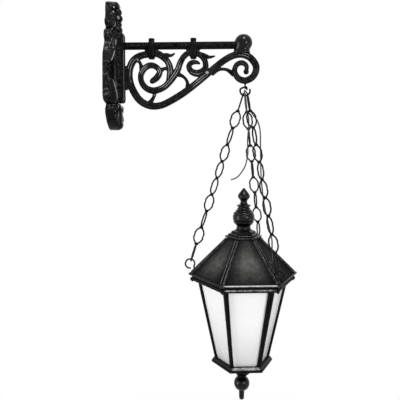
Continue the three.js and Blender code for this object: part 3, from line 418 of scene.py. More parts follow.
def tube(path, radius, sides, closed=False, end_round=False):
    """A wire along path. radius is a number or one number a point."""
    places = [np.array(p, float) for p in path]
    count = len(places)
    radii = radius if hasattr(radius, "__len__") else [radius] * count
    tangents = []
    for i in range(count):
        before = places[(i - 1) % count] if closed or i > 0 else places[0]
        after = places[(i + 1) % count] if closed or i + 1 < count else places[-1]
        step = after - before
        tangents.append(step / max(np.linalg.norm(step), 1e-9))
    side = np.cross(tangents[0], [0.0, 0.0, 1.0])
    if np.linalg.norm(side) < 0.2:
        side = np.cross(tangents[0], [0.0, 1.0, 0.0])
    side /= np.linalg.norm(side)
    sides_at = [side]
    for i in range(1, count):
        side = side - tangents[i] * side.dot(tangents[i])
        side /= np.linalg.norm(side)
        sides_at.append(side)
    slip = 0.0
    if closed:
        carried = side - tangents[0] * side.dot(tangents[0])
        carried /= np.linalg.norm(carried)
        other = np.cross(tangents[0], sides_at[0])
        slip = math.atan2(carried.dot(other), carried.dot(sides_at[0]))
    rings = []
    for i in range(count):
        normal = np.cross(tangents[i], sides_at[i])
        turns = [2 * math.pi * k / sides - slip * i / count for k in range(sides)]
        spokes = [math.cos(a) * sides_at[i] + math.sin(a) * normal for a in turns]
        rings.append([places[i] + radii[i] * spoke for spoke in spokes])
    if end_round:
        head, foot = [], []
        for at, sign, extra in ((0, -1, head), (-1, 1, foot)):
            for lift, shrink in END_SHARES:
                middle = places[at] + sign * tangents[at] * radii[at] * lift
                extra.append([middle + (p - places[at]) * shrink for p in rings[at]])
        rings = head[::-1] + rings + foot
    return loft(rings, closed)


def rounded(profile, radius, steps=3):
    """A profile whose corners are eased by up to radius."""
    out = [profile[0]]
    for before, here, after in zip(profile, profile[1:], profile[2:]):
        a, b, c = (np.array(p, float) for p in (before, here, after))
        first, second = np.linalg.norm(a - b), np.linalg.norm(c - b)
        if first < 1e-6 or second < 1e-6:
            continue
        reach = min(radius, first * 0.45, second * 0.45)
        start, end = b + (a - b) / first * reach, b + (c - b) / second * reach
        for k in range(steps + 1):
            t = k / steps
            out.append(tuple((1 - t) ** 2 * start + 2 * t * (1 - t) * b + t * t * end))
    out.append(profile[-1])
    return out


def lathe(profile, segments, x=HANG):
    """A turned form from a profile of (radius, height), with a point where the radius is 0."""
    points, faces, rows = [], [], []
    for r, z in profile:
        if r < 1e-6:
            rows.append([len(points)] * segments)
            points.append((x, 0.0, z))
        else:
            rows.append([len(points) + k for k in range(segments)])
            points += [(x + r * c, r * s, z) for c, s in circle(segments)]
    for lower, upper in zip(rows, rows[1:]):
        for k in range(segments):
            j = (k + 1) % segments
            face = tuple(dict.fromkeys((lower[k], lower[j], upper[j], upper[k])))
            if len(face) > 2:
                faces.append(face)
    return points, faces


def hex_ring(radius, height, ease, steps=3):
    """Six sides with eased corners, the lantern's own turn."""
    corners = [np.array([radius * cos(a), radius * sin(a)]) for a in CORNERS]
    ease = min(ease, radius * 0.3)
    ring = []
    for k in range(6):
        here, before, after = corners[k], corners[k - 1], corners[(k + 1) % 6]
        start = here + (before - here) / radius * ease
        end = here + (after - here) / radius * ease
        for s in range(steps + 1):
            t = s / steps
            p = (1 - t) ** 2 * start + 2 * t * (1 - t) * here + t * t * end
            ring.append((HANG + p[0], p[1], height))
    return ring


def hex_form(profile, ease):
    """A six-sided form through a closed profile of (corner radius, height)."""
    return loft([hex_ring(r, z, ease) for r, z in profile], closed=True)


def ball(centre, sizes, around, up):
    """An ellipsoid of (half length, half width, half height)."""
    bends = [math.pi * (k / up - 0.5) for k in range(up + 1)]
    profile = [(r if r > 1e-6 else 0.0, z) for r, z in ((math.cos(a), math.sin(a)) for a in bends)]
    points, faces = lathe(profile, around, 0.0)
    return [tuple(np.array(p) * np.array(sizes) + np.array(centre)) for p in points], faces


def remeshed(made, voxel, smoothing):
    """The object's shells as one skin, by voxel remesh and smoothing, both applied."""
    remesh = made.modifiers.new("remesh", "REMESH")
    remesh.mode = "VOXEL"
    remesh.voxel_size = voxel * MM
    remesh.use_smooth_shade = True
    smooth = made.modifiers.new("smooth", "SMOOTH")
    smooth.factor = 0.5
    smooth.iterations = smoothing
    evaluated = made.evaluated_get(bpy.context.evaluated_depsgraph_get())
    skin = bpy.data.meshes.new_from_object(evaluated)
    made.modifiers.clear()
    old = made.data
    made.data = skin
    skin.name = made.name
    bpy.data.meshes.remove(old)
    skin.shade_smooth()
    return made


def unit(v):
    v = np.array(v, float)
    return v / np.linalg.norm(v)


def radial(degrees):
    return np.array([cos(degrees), sin(degrees), 0.0])


def sideways(out):
    """The level direction across another."""
    return np.array([-out[1], out[0], 0.0])


def axis_point(height):
    return np.array([HANG, 0.0, height])


def about(vector, axis, degrees):
    """vector turned about a unit axis."""
    across, along = np.cross(axis, vector), axis * axis.dot(vector)
    return vector * cos(degrees) + across * sin(degrees) + along * (1 - cos(degrees))


def mirrored(half):
    """A section of (across, up) from one half of it; a point on its middle isn't doubled."""
    return half + [(-u, w) for u, w in reversed(half) if u]


# ---------------------------------------------------------------- lantern sizes
EAVE_R, EAVE_Z, EAVE_LIP = 123.0, -456.0, 2.8
FOOT_R, TOP_R, TOP_Z = 117.5, 41.0, -379.5
NECK_R, NECK_TOP, ROOF_WALL = 27.0, -374.6, 3.0
RIB_HALF, RIB_RISE = 5.0, 2.2
STEM_R = 5.0
HIP = (TOP_Z - EAVE_Z - EAVE_LIP / 2) / (FOOT_R - TOP_R)
COS30 = cos(30)
STEM_BORE = (STEM_R + FIT) / COS30  # corner radius of a six-sided hole round the stem


def hip_height(radius):
    return TOP_Z - (radius - TOP_R) * HIP


# ---------------------------------------------------------------- cord
CORD_R = 1.5
GLAND_LENGTH = 9.0
GLAND_RADIUS, GLAND_ACROSS = 82.0, -27.0  # its place on the roof: corner radius and sideways
ROUTE = [
    (357, -55.2, -407), (356, -57, -394), (355.6, -58.5, -382), (355, -60, -369),
    (352.8, -60, -360), (349.9, -58, -346), (348, -57, -339), (344.4, -53, -321),
    (341.6, -49, -310), (339, -45, -296), (337, -40, -282), (334.8, -36, -261), (333.2, -29, -241),
    (332.4, -26, -221), (332.2, -22, -200), (332, -17, -180), (331.8, -13, -163), (331.6, -9, -145),
    (330, -5, -131), (324.9, -1, -116), (317.5, 3, -106), (311.2, 7, -95), (308, 9.5, -80),
    (305.8, 9.5, -66), (301.6, 5.5, -55.5), (297, 0, -51.6), (296.6, -6, -55), (297, -10.8, -65),
    (298, -11.6, -80), (300.6, -9.6, -94), (304.4, -6, -104), (306.4, -3, -113), (306.8, -1, -124),
    (306.2, 0, -136), (304.9, 0, -157), (305, 0, -173), (305.8, 0, -185), (304.6, 0, -196),
    (301.4, 0, -212), (297.2, 0, -222), (291.8, 0, -230.5), (284.9, 0, -239), (277.8, 0, -243.8),
    (269, 0, -246.6),
]


def gland_place():
    """Where the cord leaves the roof, and the roof's own direction there."""
    out = radial(TURN + 60 * 5.5)
    place = axis_point(hip_height(GLAND_RADIUS)) + out * GLAND_RADIUS * COS30
    place = place + sideways(out) * GLAND_ACROSS
    return place, unit(out * HIP / COS30 + np.array([0, 0, 1.0]))


def make_cord():
    place, normal = gland_place()
    start = place + normal * (GLAND_LENGTH / 2 + FIT)
    line = spline([start, start + normal * 2 * CORD_R, *ROUTE], 5)
    curve = bpy.data.curves.new("power_cord_flex", "CURVE")
    curve.dimensions = "3D"
    curve.bevel_depth = CORD_R * MM
    curve.bevel_resolution = 4
    curve.use_fill_caps = True
    run = curve.splines.new("POLY")
    run.points.add(len(line) - 1)
    for point, p in zip(run.points, line):
        point.co = (p[0] * MM, p[1] * MM, p[2] * MM, 1.0)
    run.use_smooth = True
    made = add_object("power_cord_flex", curve)
    finish_piece(made, "roof_and_chains", flex, "power_cord", "black_rubber")
    return made, start, sum(float(np.linalg.norm(b - a)) for a, b in zip(line, line[1:]))


def make_gland():
    """A tapered grommet with a shoulder against the roof."""
    place, normal = gland_place()
    profile = [
        (0, -4.4), (3.2, -4.4), (3.4, 0.2), (3.6, 0.3), (3.6, 1.6), (3.0, 2.0), (2.2, 4.4),
        (0, 4.4),
    ]
    side = unit(np.cross(normal, [0, 0, 1.0]))
    other = np.cross(normal, side)
    points, faces = lathe(rounded(profile, 0.4), 28, 0)
    placed = [tuple(place + side * p[0] + other * p[1] + normal * p[2]) for p in points]
    form = (placed, faces)
    return piece("cord_grommet", form, "roof_and_chains", flex, "cord_gland", slot="black_rubber")


cord, cord_start, cord_length = make_cord()
grommet = make_gland()
tuple(float(v) * MM for v in cord_start)


# ---------------------------------------------------------------- hook, screw-eye, hip eyes, chains
SCREW_SEAT = -37.6  # the end scroll's underside
SCREW_RING, SCREW_WIRE, SCREW_REACH = 4.0, 1.5, 8.0
SCREW_Z = SCREW_SEAT - SCREW_RING - SCREW_WIRE - FIT
HOOK_WIRE, BOWL = 2.0, 10.8
PIVOT_Z = SCREW_Z - SCREW_RING
BOWL_Z = PIVOT_Z - BOWL * 0.43
WIRE = {"paint": black_wire, "slot": "black_wire"}


def hook_point(degrees):
    return axis_point(BOWL_Z) + BOWL * np.array([cos(degrees), 0.0, sin(degrees)])


def make_screw_eye():
    ring = [(HANG, SCREW_RING * c, SCREW_Z + SCREW_RING * s) for c, s in circle(40)]
    top = SCREW_SEAT + SCREW_REACH
    shank = [(0, SCREW_Z + SCREW_RING), (2.1, SCREW_Z + SCREW_RING)]
    height = SCREW_SEAT - 1
    while height < top - 1.2:
        shank += [(2.35, height), (2.0, height + 0.55)]
        height += 1.1
    shank += [(1.6, top), (0, top)]
    form = merge([tube(ring, SCREW_WIRE, 16, closed=True), lathe(shank, 24)])
    piece("screw_eye_wire", form, "hanging_eye", node="screw_eye", **WIRE)


def make_hook():
    curl = SCREW_WIRE + HOOK_WIRE + FIT
    points = [(HANG + curl * cos(a), 0, PIVOT_Z + curl * sin(a)) for a in range(-50, 131, 30)]
    angle = 160.0
    while angle <= 396:
        points.append(tuple(hook_point(angle)))
        angle += 27.8
    line = spline(points, 6)
    thick = [HOOK_WIRE * (0.86 if i < 2 or i > len(line) - 3 else 1.0) for i in range(len(line))]
    piece("hook_wire", tube(line, thick, 16), "hook", node="s_hook", **WIRE)


EYE_WIRE, EYE_RING, EYE_FOOT, EYE_STAND, EYE_GAP = 1.8, 10.4, 109.0, 14.5, 48.0
# Each eye's hip, its twist, its chain's quarter turns and the chain's place in the hook's bowl
EYES = {"left": (3, 180, 10, -26), "front": (5, 50, 10, 28), "back": (1, 0, 9, 2)}


def eye_place(corner, twist):
    """An eye's foot, its directions out of the roof and across, its centre and its ring's axis."""
    out = radial(CORNERS[corner])
    foot = axis_point(hip_height(EYE_FOOT) + RIB_RISE) + out * EYE_FOOT
    normal = unit(out * HIP + np.array([0, 0, 1.0]))
    side = unit(np.cross(normal, np.cross(out, [0, 0, 1.0])))
    side = about(side, normal, twist)
    return foot, normal, side, foot + normal * EYE_STAND, unit(np.cross(normal, side))


def make_eye(name, corner, twist):
    foot, normal, side, centre, _ = eye_place(corner, twist)
    points = [foot - normal * (2 * ROOF_WALL + RIB_RISE), foot, foot + normal * EYE_WIRE]
    for step in range(12):
        a = 180 - 14 - (360 - EYE_GAP) * step / 11
        points.append(centre + EYE_RING * (cos(a) * normal + sin(a) * side))
    line = spline(points, 6)
    thick = [EYE_WIRE * (0.8 if i == len(line) - 1 else 1.0) for i in range(len(line))]
    piece(f"eye_{name}_wire", tube(line, thick, 14), "roof_and_chains", node=f"eye_{name}", **WIRE)


LINK_WIRE, LINK_HALF, LINK_GAP, LINKS = 1.5, 10.0, 0.75, 10
STOUT = 0.3  # how much stouter the wire looks than its solid
# A quarter of a link's centreline, from its head to its waist: [width share, length share]
LINK_SHARES = [
    (0, 1), (0.15, 0.985), (0.27, 0.93), (0.33, 0.85), (0.35, 0.77), (0.47, 0.725), (0.6, 0.66),
    (0.74, 0.58), (0.84, 0.5), (0.85, 0.42), (0.97, 0.34), (1.0, 0.26), (0.97, 0.12), (0.95, 0),
]


def link_shape(half_length):
    """A wire link in its own plane, with the butt where the wire was closed."""
    shares = LINK_SHARES + [(w, -l) for w, l in LINK_SHARES[-2:0:-1]]
    half = [(w * LINK_HALF, l * half_length, 0.0) for w, l in shares]
    line = half + [(-x, -y, 0.0) for x, y, _ in half]
    butt = int(len(line) * 0.25)
    thick = [(LINK_WIRE + STOUT) * (0.82 if i == butt else 1.0) for i in range(len(line))]
    return tube(line, thick, 10, closed=True)


def make_chain(name, corner, twist, quarter_turns, hook_angle):
    """Links from the hook's bowl to an eye, each rolled a little more than a quarter turn."""
    _, _, _, centre, ring_normal = eye_place(corner, twist)
    top = hook_point(270 + hook_angle)
    away = unit(centre - top)
    in_ring = unit(away - ring_normal * away.dot(ring_normal))
    seat = centre - in_ring * EYE_RING
    along = unit(seat - top)
    span = float(np.linalg.norm(seat - top))
    lap_top = HOOK_WIRE + LINK_WIRE + LINK_GAP
    lap_foot = EYE_WIRE + LINK_WIRE + LINK_GAP
    lap = 2 * LINK_WIRE + LINK_GAP
    length = (span + lap_top + lap_foot + (LINKS - 1) * lap) / LINKS
    across_x = unit(np.array([1.0, 0, 0]) - along * along[0])
    across_y = unit(np.cross(along, across_x))
    first = math.pi / 2
    whole = math.atan2(ring_normal.dot(across_y), ring_normal.dot(across_x)) - first
    whole += math.pi * round((-math.pi / 2 * quarter_turns - whole) / math.pi)
    shape, faces = link_shape(length / 2)
    for i in range(LINKS):
        roll = first + whole * i / (LINKS - 1)
        across = across_x * math.cos(roll) + across_y * math.sin(roll)
        depth = np.cross(across, along)
        middle = top + along * (-lap_top + length / 2 + i * (length - lap))
        placed = [tuple(middle + across * p[0] + along * p[1] + depth * p[2]) for p in shape]
        label = f"{i + 1:02d}"
        node = f"chain_{name}_link_{label}"
        piece(f"link_{name}_{label}", (placed, faces), "roof_and_chains", node=node, **WIRE)


make_screw_eye()
make_hook()
for eye_name, (corner, twist, quarters, hook_angle) in EYES.items():
    make_eye(eye_name, corner, twist)
    make_chain(eye_name, corner, twist, quarters, hook_angle)


# ---------------------------------------------------------------- scroll bracket
BAR = 14.4  # a scroll bar's nominal width
SCROLL_HALF = 6.5
LINE_HALF = 0.8
LINE_SHARES = (0.34, -0.3)  # how far out from a bar's middle its two raised lines run
STUD_OUT, STUD_RISE = 5.4, 1.5
VOXEL, SMOOTHING = 0.8, 2  # how the casting's strokes are made one skin
ARM_Z = 45.2
# Each bar's centreline: [reach share, height share, width share]
STROKES = {
    "main": [
        (0.318, 0.09, 0.9), (0.245, 0.085, 1.0), (0.181, 0.05, 1.05), (0.15, -0.012, 1.08),
        (0.148, -0.094, 1.12), (0.176, -0.174, 1.14), (0.229, -0.247, 1.15), (0.3, -0.283, 1.1),
        (0.376, -0.281, 1.04), (0.45, -0.249, 1.04), (0.53, -0.202, 1.05), (0.6, -0.153, 1.02),
        (0.71, -0.065, 1), (0.79, 0.002, 1), (0.86, 0.053, 1), (0.925, 0.082, 1), (0.983, 0.084, 1),
        (1.038, 0.058, 1.02), (1.078, -0.005, 1.05), (1.06, -0.069, 1.02), (1.002, -0.102, 0.98),
        (0.948, -0.084, 0.92), (0.922, -0.036, 0.84), (0.936, 0.01, 0.78), (0.976, 0.026, 0.74),
        (1.008, 0.002, 0.68), (1.006, -0.038, 0.62),
    ],
    "curl": [
        (0.316, -0.104, 0.8), (0.35, -0.078, 0.95), (0.373, -0.036, 0.9), (0.352, -0.005, 0.86),
        (0.312, 0.012, 0.88), (0.27, -0.002, 0.88), (0.238, -0.042, 0.88), (0.232, -0.082, 0.88),
        (0.246, -0.125, 0.93), (0.28, -0.159, 0.98), (0.33, -0.172, 1.0), (0.4, -0.149, 0.95),
        (0.457, -0.094, 0.98), (0.504, -0.025, 0.98), (0.528, 0.036, 0.92), (0.555, 0.078, 0.84),
        (0.594, 0.101, 0.82), (0.632, 0.098, 0.84), (0.672, 0.082, 0.86), (0.704, 0.042, 0.88),
        (0.708, -0.012, 0.92), (0.656, -0.048, 1.04), (0.606, -0.034, 0.95), (0.588, 0.002, 0.85),
        (0.602, 0.025, 0.76), (0.628, 0.033, 0.66), (0.652, 0.029, 0.5), (0.67, 0.02, 0.24),
    ],
    "ring_side": [
        (0.318, 0.098, 1.0), (0.358, 0.094, 1.06), (0.396, 0.071, 1.0), (0.431, 0.036, 0.98),
        (0.449, -0.012, 1.04), (0.447, -0.07, 1.0), (0.436, -0.11, 0.8),
    ],
    "leaf_inner": [
        (0.386, 0.076, 0.9), (0.424, 0.084, 0.7), (0.458, 0.082, 0.46), (0.484, 0.099, 0.24),
    ],
    "leaf_outer": [
        (0.664, 0.086, 0.95), (0.704, 0.076, 0.8), (0.736, 0.068, 0.52), (0.78, 0.076, 0.22),
    ],
}
# Thin webs between the bars: [reach share, height share]
WEBS = {
    "upper_left": [(0.2, 0.058), (0.226, 0.03), (0.24, -0.016)],
    "right": [(0.374, -0.03), (0.41, -0.012), (0.444, -0.02)],
    "lower": [(0.334, -0.176), (0.328, -0.215), (0.3, -0.262)],
    "strut": [(0.5, -0.052), (0.544, -0.07), (0.574, -0.106), (0.578, -0.17)],
    "under_arch": [(0.752, -0.052), (0.808, -0.022), (0.862, -0.022), (0.916, -0.056)],
}
# The bar's front half, from one edge to the other: [width share, thickness share]
MOULDING = mirrored(
    [
        (-1, 0), (-1, 0.42), (-0.95, 0.66), (-0.84, 0.82), (-0.66, 0.88), (-0.5, 0.85),
        (-0.3, 0.78), (-0.12, 0.68), (0, 0.66),
    ]
)
RIDGE = mirrored([(-1, 0), (-0.9, 0.4), (-0.5, 0.66), (0, 0.78)])
# Where the raised lines are painted pale as highlights: lowest and highest reach share, then height
# share
HIGHLIT_SPANS = [
    (0.14, 0.22, -0.12, 0.07), (0.36, 0.53, -0.16, 0.05), (0.225, 0.29, -0.06, 0.02),
    (0.6, 0.72, -0.16, -0.04), (0.93, 1.03, 0.05, 0.1),
]
# Studs where bars meet, painted pale as highlight spots: [reach share, height share, radius]
STUDS = ((0.722, -0.046, 3.6), (0.2117, 0.047, 2.2), (0.336, -0.207, 2.4))
# Bosses that end bars: [reach share, height share, width share, thickness share]
BOSSES = (
    (0.316, -0.104, 0.8, 1.0), (1.006, -0.038, 0.86, 1.0), (0.656, -0.048, 1.02, 1.0),
    (0.436, -0.11, 0.7, 0.8),
)
COLLARS = {"inner": 93.2, "outer": 184.8}
# Saddles under the collars: [middle, half length]
SADDLES = ((92.2, 15.5), (184.0, 16.5))
SADDLE_HALF, SADDLE_FOOT, SADDLE_TOP, SADDLE_RISE = 5.2, 21, 38.6, 16.0
# The pad that takes the scroll to the back bar: [reach, height]
PAD = [(32.9, 2), (32.9, -50), (38.5, -50), (44.5, -42), (44.5, -6), (38.5, 2)]
PAD_MIDDLE = (38.5, -24)


def both_faces(half):
    return half + [(u, -w) for u, w in reversed(half[1:-1])]


def bar_line(places, per):
    """A bar's centreline of (reach, height, half width) in mm."""
    return spline([(x * HANG, z * HANG, w * BAR / 2) for x, z, w in places], per)


def bar_depth(half):
    """Half a bar's thickness where its width is twice half."""
    return SCROLL_HALF * min(1.0, 0.35 + half / (0.36 * BAR) * 0.65)


def stroke(places, half_section):
    """A moulded bar along places of (reach share, height share, width share)."""
    line, section = bar_line(places, 6), both_faces(half_section)
    rings = []
    for i, here in enumerate(line):
        step = unit((line[min(i + 1, len(line) - 1)] - line[max(i - 1, 0)])[:2])
        x, z, half = here
        deep = bar_depth(half)
        rings.append(
            [(x - step[1] * u * half, w * deep, z + step[0] * u * half) for u, w in section]
        )
    return loft(rings)


def lit(place):
    return any(a < place[0] / HANG < b and c < place[1] / HANG < d for a, b, c, d in HIGHLIT_SPANS)


def by_light(run):
    """A run of places cut where it goes into or out of the parts painted as highlights."""
    pieces, part = [], [run[0]]
    for before, here in zip(run, run[1:]):
        part.append(here)
        if lit(before) != lit(here):
            pieces.append(part)
            part = [here]
    return [part for part in [*pieces, part] if len(part) > 3]


def clear_runs(line, share, done):
    """A line beside a bar's centreline, in runs that keep clear of the bars that are done."""
    run, last = [], len(line) - 4
    for i, here in enumerate(line[3:-3], 3):
        step = unit((line[i + 1] - line[i - 1])[:2])
        x, z = here[0] - step[1] * share * here[2], here[1] + step[0] * share * here[2]
        clear = all(math.hypot(x - q[0], z - q[1]) > q[2] * 0.9 for q in done)
        if clear:
            run.append((x, z, here[2]))
        if run and (not clear or i == last):
            if len(run) > 5:
                yield run
            run = []


def scroll_lines():
    """Two raised lines down each bar, cut where bars run together, and studs at the joints."""
    bright, plain, done = [], [], []
    for name in ("main", "curl", "ring_side"):
        line = bar_line(STROKES[name], 8)
        runs = [run for share in LINE_SHARES for run in clear_runs(line, share, done)]
        for part in [part for run in runs for part in by_light(run)]:
            last = len(part)
            thick = [LINE_HALF * min(1, (k + 1) / 4, (last - k) / 4) for k in range(last)]
            for face in (-1, 1):
                path = [(x, face * bar_depth(half) * 0.84, z) for x, z, half in part]
                # Lines in the highlit spans get the pale paint as painted highlights.
                (bright if lit(part[last // 2]) else plain).append(tube(path, thick, 8))
        done += [tuple(q) for q in line[::2]]
    for x, z, size in STUDS:
        for face in (-1, 1):
            middle = (x * HANG, face * STUD_OUT, z * HANG)
            bright.append(ball(middle, (size, STUD_RISE, size), 8, 6))
    # The bright lines and the studs are painted highlights.
    piece("scroll_lines", merge(bright), "bracket", highlight_line_paint, "scroll_bracket", 60)
    piece("scroll_lines_plain", merge(plain), "bracket", cast_paint, "scroll_bracket", 60)


def saddle(middle, half):
    """A pad under a collar, deepest in its middle."""
    rings = []
    for share in (-1, -0.8, -0.5, 0, 0.5, 0.8, 1):
        deep = SADDLE_HALF * (1 - 0.35 * abs(share))
        x, low = middle + share * half, SADDLE_FOOT + SADDLE_RISE * abs(share) ** 1.3
        section = ((-deep, low), (deep, low), (deep, SADDLE_TOP), (-deep, SADDLE_TOP))
        rings.append([(x, y, z) for y, z in section])
    return loft(rings)


def wall_pad():
    rings = []
    for y, inset in ((-6, 0.9), (-5.2, 0), (5.2, 0), (6, 0.9)):
        rings.append(
            [
                (x - inset * (x > PAD_MIDDLE[0]), y, z - inset * (1 if z > PAD_MIDDLE[1] else -1))
                for x, z in PAD
            ]
        )
    return loft(rings)


def make_scroll():
    parts = [stroke(places, MOULDING) for name, places in STROKES.items() if "leaf" not in name]
    parts += [stroke(places, RIDGE) for name, places in STROKES.items() if "leaf" in name]
    for places in WEBS.values():
        widths = [0.85, *[0.52] * (len(places) - 2), 0.85]
        parts.append(stroke([(x, z, w) for (x, z), w in zip(places, widths)], RIDGE))
    for x, z, w, tall in BOSSES:
        half = w * BAR / 2
        parts.append(ball((x * HANG, 0, z * HANG), (half, SCROLL_HALF * tall, half), 24, 12))
    parts += [saddle(*place) for place in SADDLES]
    parts.append(wall_pad())
    scroll_lines()
    bracket = remeshed(cast_object("scroll_casting", merge(parts)), VOXEL, SMOOTHING)
    finish_piece(bracket, "bracket", cast_paint, "scroll_bracket")


make_scroll()


# ---------------------------------------------------------------- arm, collars, knob, back bar
ARM_BORE, ARM_R, ARM_START, ARM_END = 5.4, 8.1, 25.7, 282.8


def make_arm():
    """A pipe along +X from a profile of (radius, reach)."""
    ends = [(ARM_BORE, ARM_START), (ARM_R, ARM_START), (ARM_R, ARM_END), (ARM_BORE, ARM_END)]
    profile = rounded(ends, 0.5) + [(ARM_BORE, ARM_END - 0.2), (ARM_BORE, ARM_START + 0.2)]
    rings = [[(x, r * c, ARM_Z + r * s) for c, s in circle(40)] for r, x in profile]
    piece("arm_pipe", loft(rings, closed=True), "bracket", bar_paint, "arm_tube")


# A collar from its foot up: [height share, length share, width share]
COLLAR = [
    (0.0, 0.5, 0.44), (0.015, 0.6, 0.54), (0.05, 0.66, 0.64), (0.1, 0.76, 0.78), (0.14, 0.86, 0.86),
    (0.2, 0.86, 0.9), (0.3, 0.82, 0.96), (0.4, 0.84, 1.0), (0.55, 0.88, 1.0), (0.66, 0.86, 0.97),
    (0.74, 0.82, 0.9), (0.8, 0.76, 0.84), (0.82, 0.66, 0.76), (0.86, 0.63, 0.72), (0.93, 0.63, 0.7),
    (0.955, 0.66, 0.72), (0.985, 0.62, 0.66), (1.0, 0.5, 0.54),
]
COLLAR_FOOT, COLLAR_TOP, COLLAR_LENGTH, COLLAR_WIDTH = 16.6, 60.6, 10.3, 11.6


def fuller(value):
    """A cosine or sine made a little fuller, which squares a round section."""
    return math.copysign(abs(value) ** 0.72, value)


def make_collar(name, x):
    tall = COLLAR_TOP - COLLAR_FOOT
    line = spline([(h * tall, l * COLLAR_LENGTH, w * COLLAR_WIDTH) for h, l, w in COLLAR], 3)
    rings = [
        [(x + length * fuller(c), width * fuller(s), COLLAR_FOOT + height) for c, s in circle(40)]
        for height, length, width in line
    ]
    piece(f"collar_{name}_casting", loft(rings), "bracket", black_paint, f"collar_{name}")


KNOB_X, KNOB_Z, KNOB_R = 293.0, 49.4, 19.6
# The knob's foot and neck: [height, reach to the wall, reach away from the wall, half width]
KNOB_ROWS = [
    (27.4, 0, 0, 0), (27.4, 21.4, 14.6, 14.0), (28.2, 22.0, 15.2, 15.2), (30.0, 21.8, 15.0, 15.4),
    (32.5, 21.0, 14.4, 14.8), (35.0, 20.5, 14.2, 14.8), (37.2, 20.2, 14.8, 15.4),
    (39.5, 20.0, 16.2, 16.6), (42.5, 19.9, 18.0, 18.2), (46.0, 19.8, 19.4, 19.3),
]


def make_knob():
    """A ball that runs into a wide neck on the arm's side, over a flange on the scroll."""
    rows = [*KNOB_ROWS]
    for a in range(-4, 61, 7):
        rows.append((KNOB_Z + KNOB_R * sin(a), *[KNOB_R * cos(a)] * 3))
    rows += [(KNOB_Z + KNOB_R * 0.885, 7.2, 7.2, 7.2), (KNOB_Z + KNOB_R * 0.895, 0, 0, 0)]
    rings = [
        [(KNOB_X + (far_side if c > 0 else wall_side) * c, half * s, z) for c, s in circle(56)]
        for z, wall_side, far_side, half in rows
    ]
    # The last two faces of a loft close its ends, which here have shrunk to points
    points, faces = loft(rings)
    piece("knob_ball", (points, faces[:-2]), "bracket", turned_paint, "end_knob", 50)


BAR_BACK, BAR_THICK, BAR_HALF, BAR_FOOT, BAR_TOP, BAR_CORNER = 20.3, 12.3, 14.0, -78.5, 73.0, 8.0
# The bar's section from its back edge to its middle: [width share, depth share]
BAR_FACE = [
    (1.0, 0.0), (1.0, 0.62), (0.97, 0.8), (0.88, 0.93), (0.76, 1.0), (0.64, 0.985), (0.56, 0.93),
    (0.46, 0.88), (0.2, 0.87),
]


def make_bar():
    """An upright bar with eased edges, a shallow panel down its face and round ends."""
    section = mirrored(BAR_FACE)
    stations = {
        (round(BAR_FOOT + BAR_CORNER * (1 - sin(a)), 4), round(BAR_CORNER * (1 - cos(a)), 4))
        for a in (90 * k / 8 for k in range(9))
    }
    rows = [(z, BAR_HALF - inset) for z, inset in sorted(stations)]
    ends = (BAR_FOOT + BAR_CORNER + 6, BAR_TOP - BAR_CORNER - 6)
    rows += [(z, BAR_HALF) for z in np.linspace(*ends, 12)]
    rows += [(BAR_TOP + BAR_FOOT - z, w) for z, w in reversed(rows[:9])]
    rings = []
    for z, width in rows:
        ease = 1 - 0.22 * (1 - min(1.0, (min(z - BAR_FOOT, BAR_TOP - z)) / 7.0)) ** 2
        rings.append([(BAR_BACK + BAR_THICK * d * ease, width * u, z) for u, d in section])
    piece("bar_casting", loft(rings), "bracket", bar_paint, "back_bar", 46)


make_arm()
for collar_name, place in COLLARS.items():
    make_collar(collar_name, place)
make_knob()
make_bar()


# ---------------------------------------------------------------- wall plate
PLATE_H, PLATE_W = 138.0, 65.0
PLATE_WALL = 5.0
LAND_HALF, LAND_FOOT, LAND_TOP = 21, -81.5, 74.6  # the flat that takes the back bar
LAND_EDGE = 1.2  # how wide the flat's sloping edge is
# The plate's edge from its head down: [height share, half width share]
EDGE = [
    (1, 0), (0.996, 0.14), (0.985, 0.28), (0.94, 0.47), (0.86, 0.53), (0.78, 0.52), (0.7, 0.55),
    (0.665, 0.64), (0.61, 0.62), (0.565, 0.47), (0.535, 0.55), (0.5, 0.71), (0.45, 0.765),
    (0.4, 0.76), (0.345, 0.68), (0.3, 0.72), (0.21, 0.83), (0.14, 0.92), (0, 0.955), (-0.2, 0.97),
    (-0.4, 0.985), (-0.49, 0.99), (-0.55, 0.93), (-0.585, 0.8), (-0.603, 0.56), (-0.63, 0.585),
    (-0.69, 0.69), (-0.75, 0.68), (-0.82, 0.58), (-0.88, 0.5), (-0.95, 0.3), (-0.985, 0.17),
    (-1, 0),
]
EDGE_HEIGHTS = np.array([h for h, _ in EDGE])[::-1] * PLATE_H
EDGE_WIDTHS = np.array([w for _, w in EDGE])[::-1] * PLATE_W
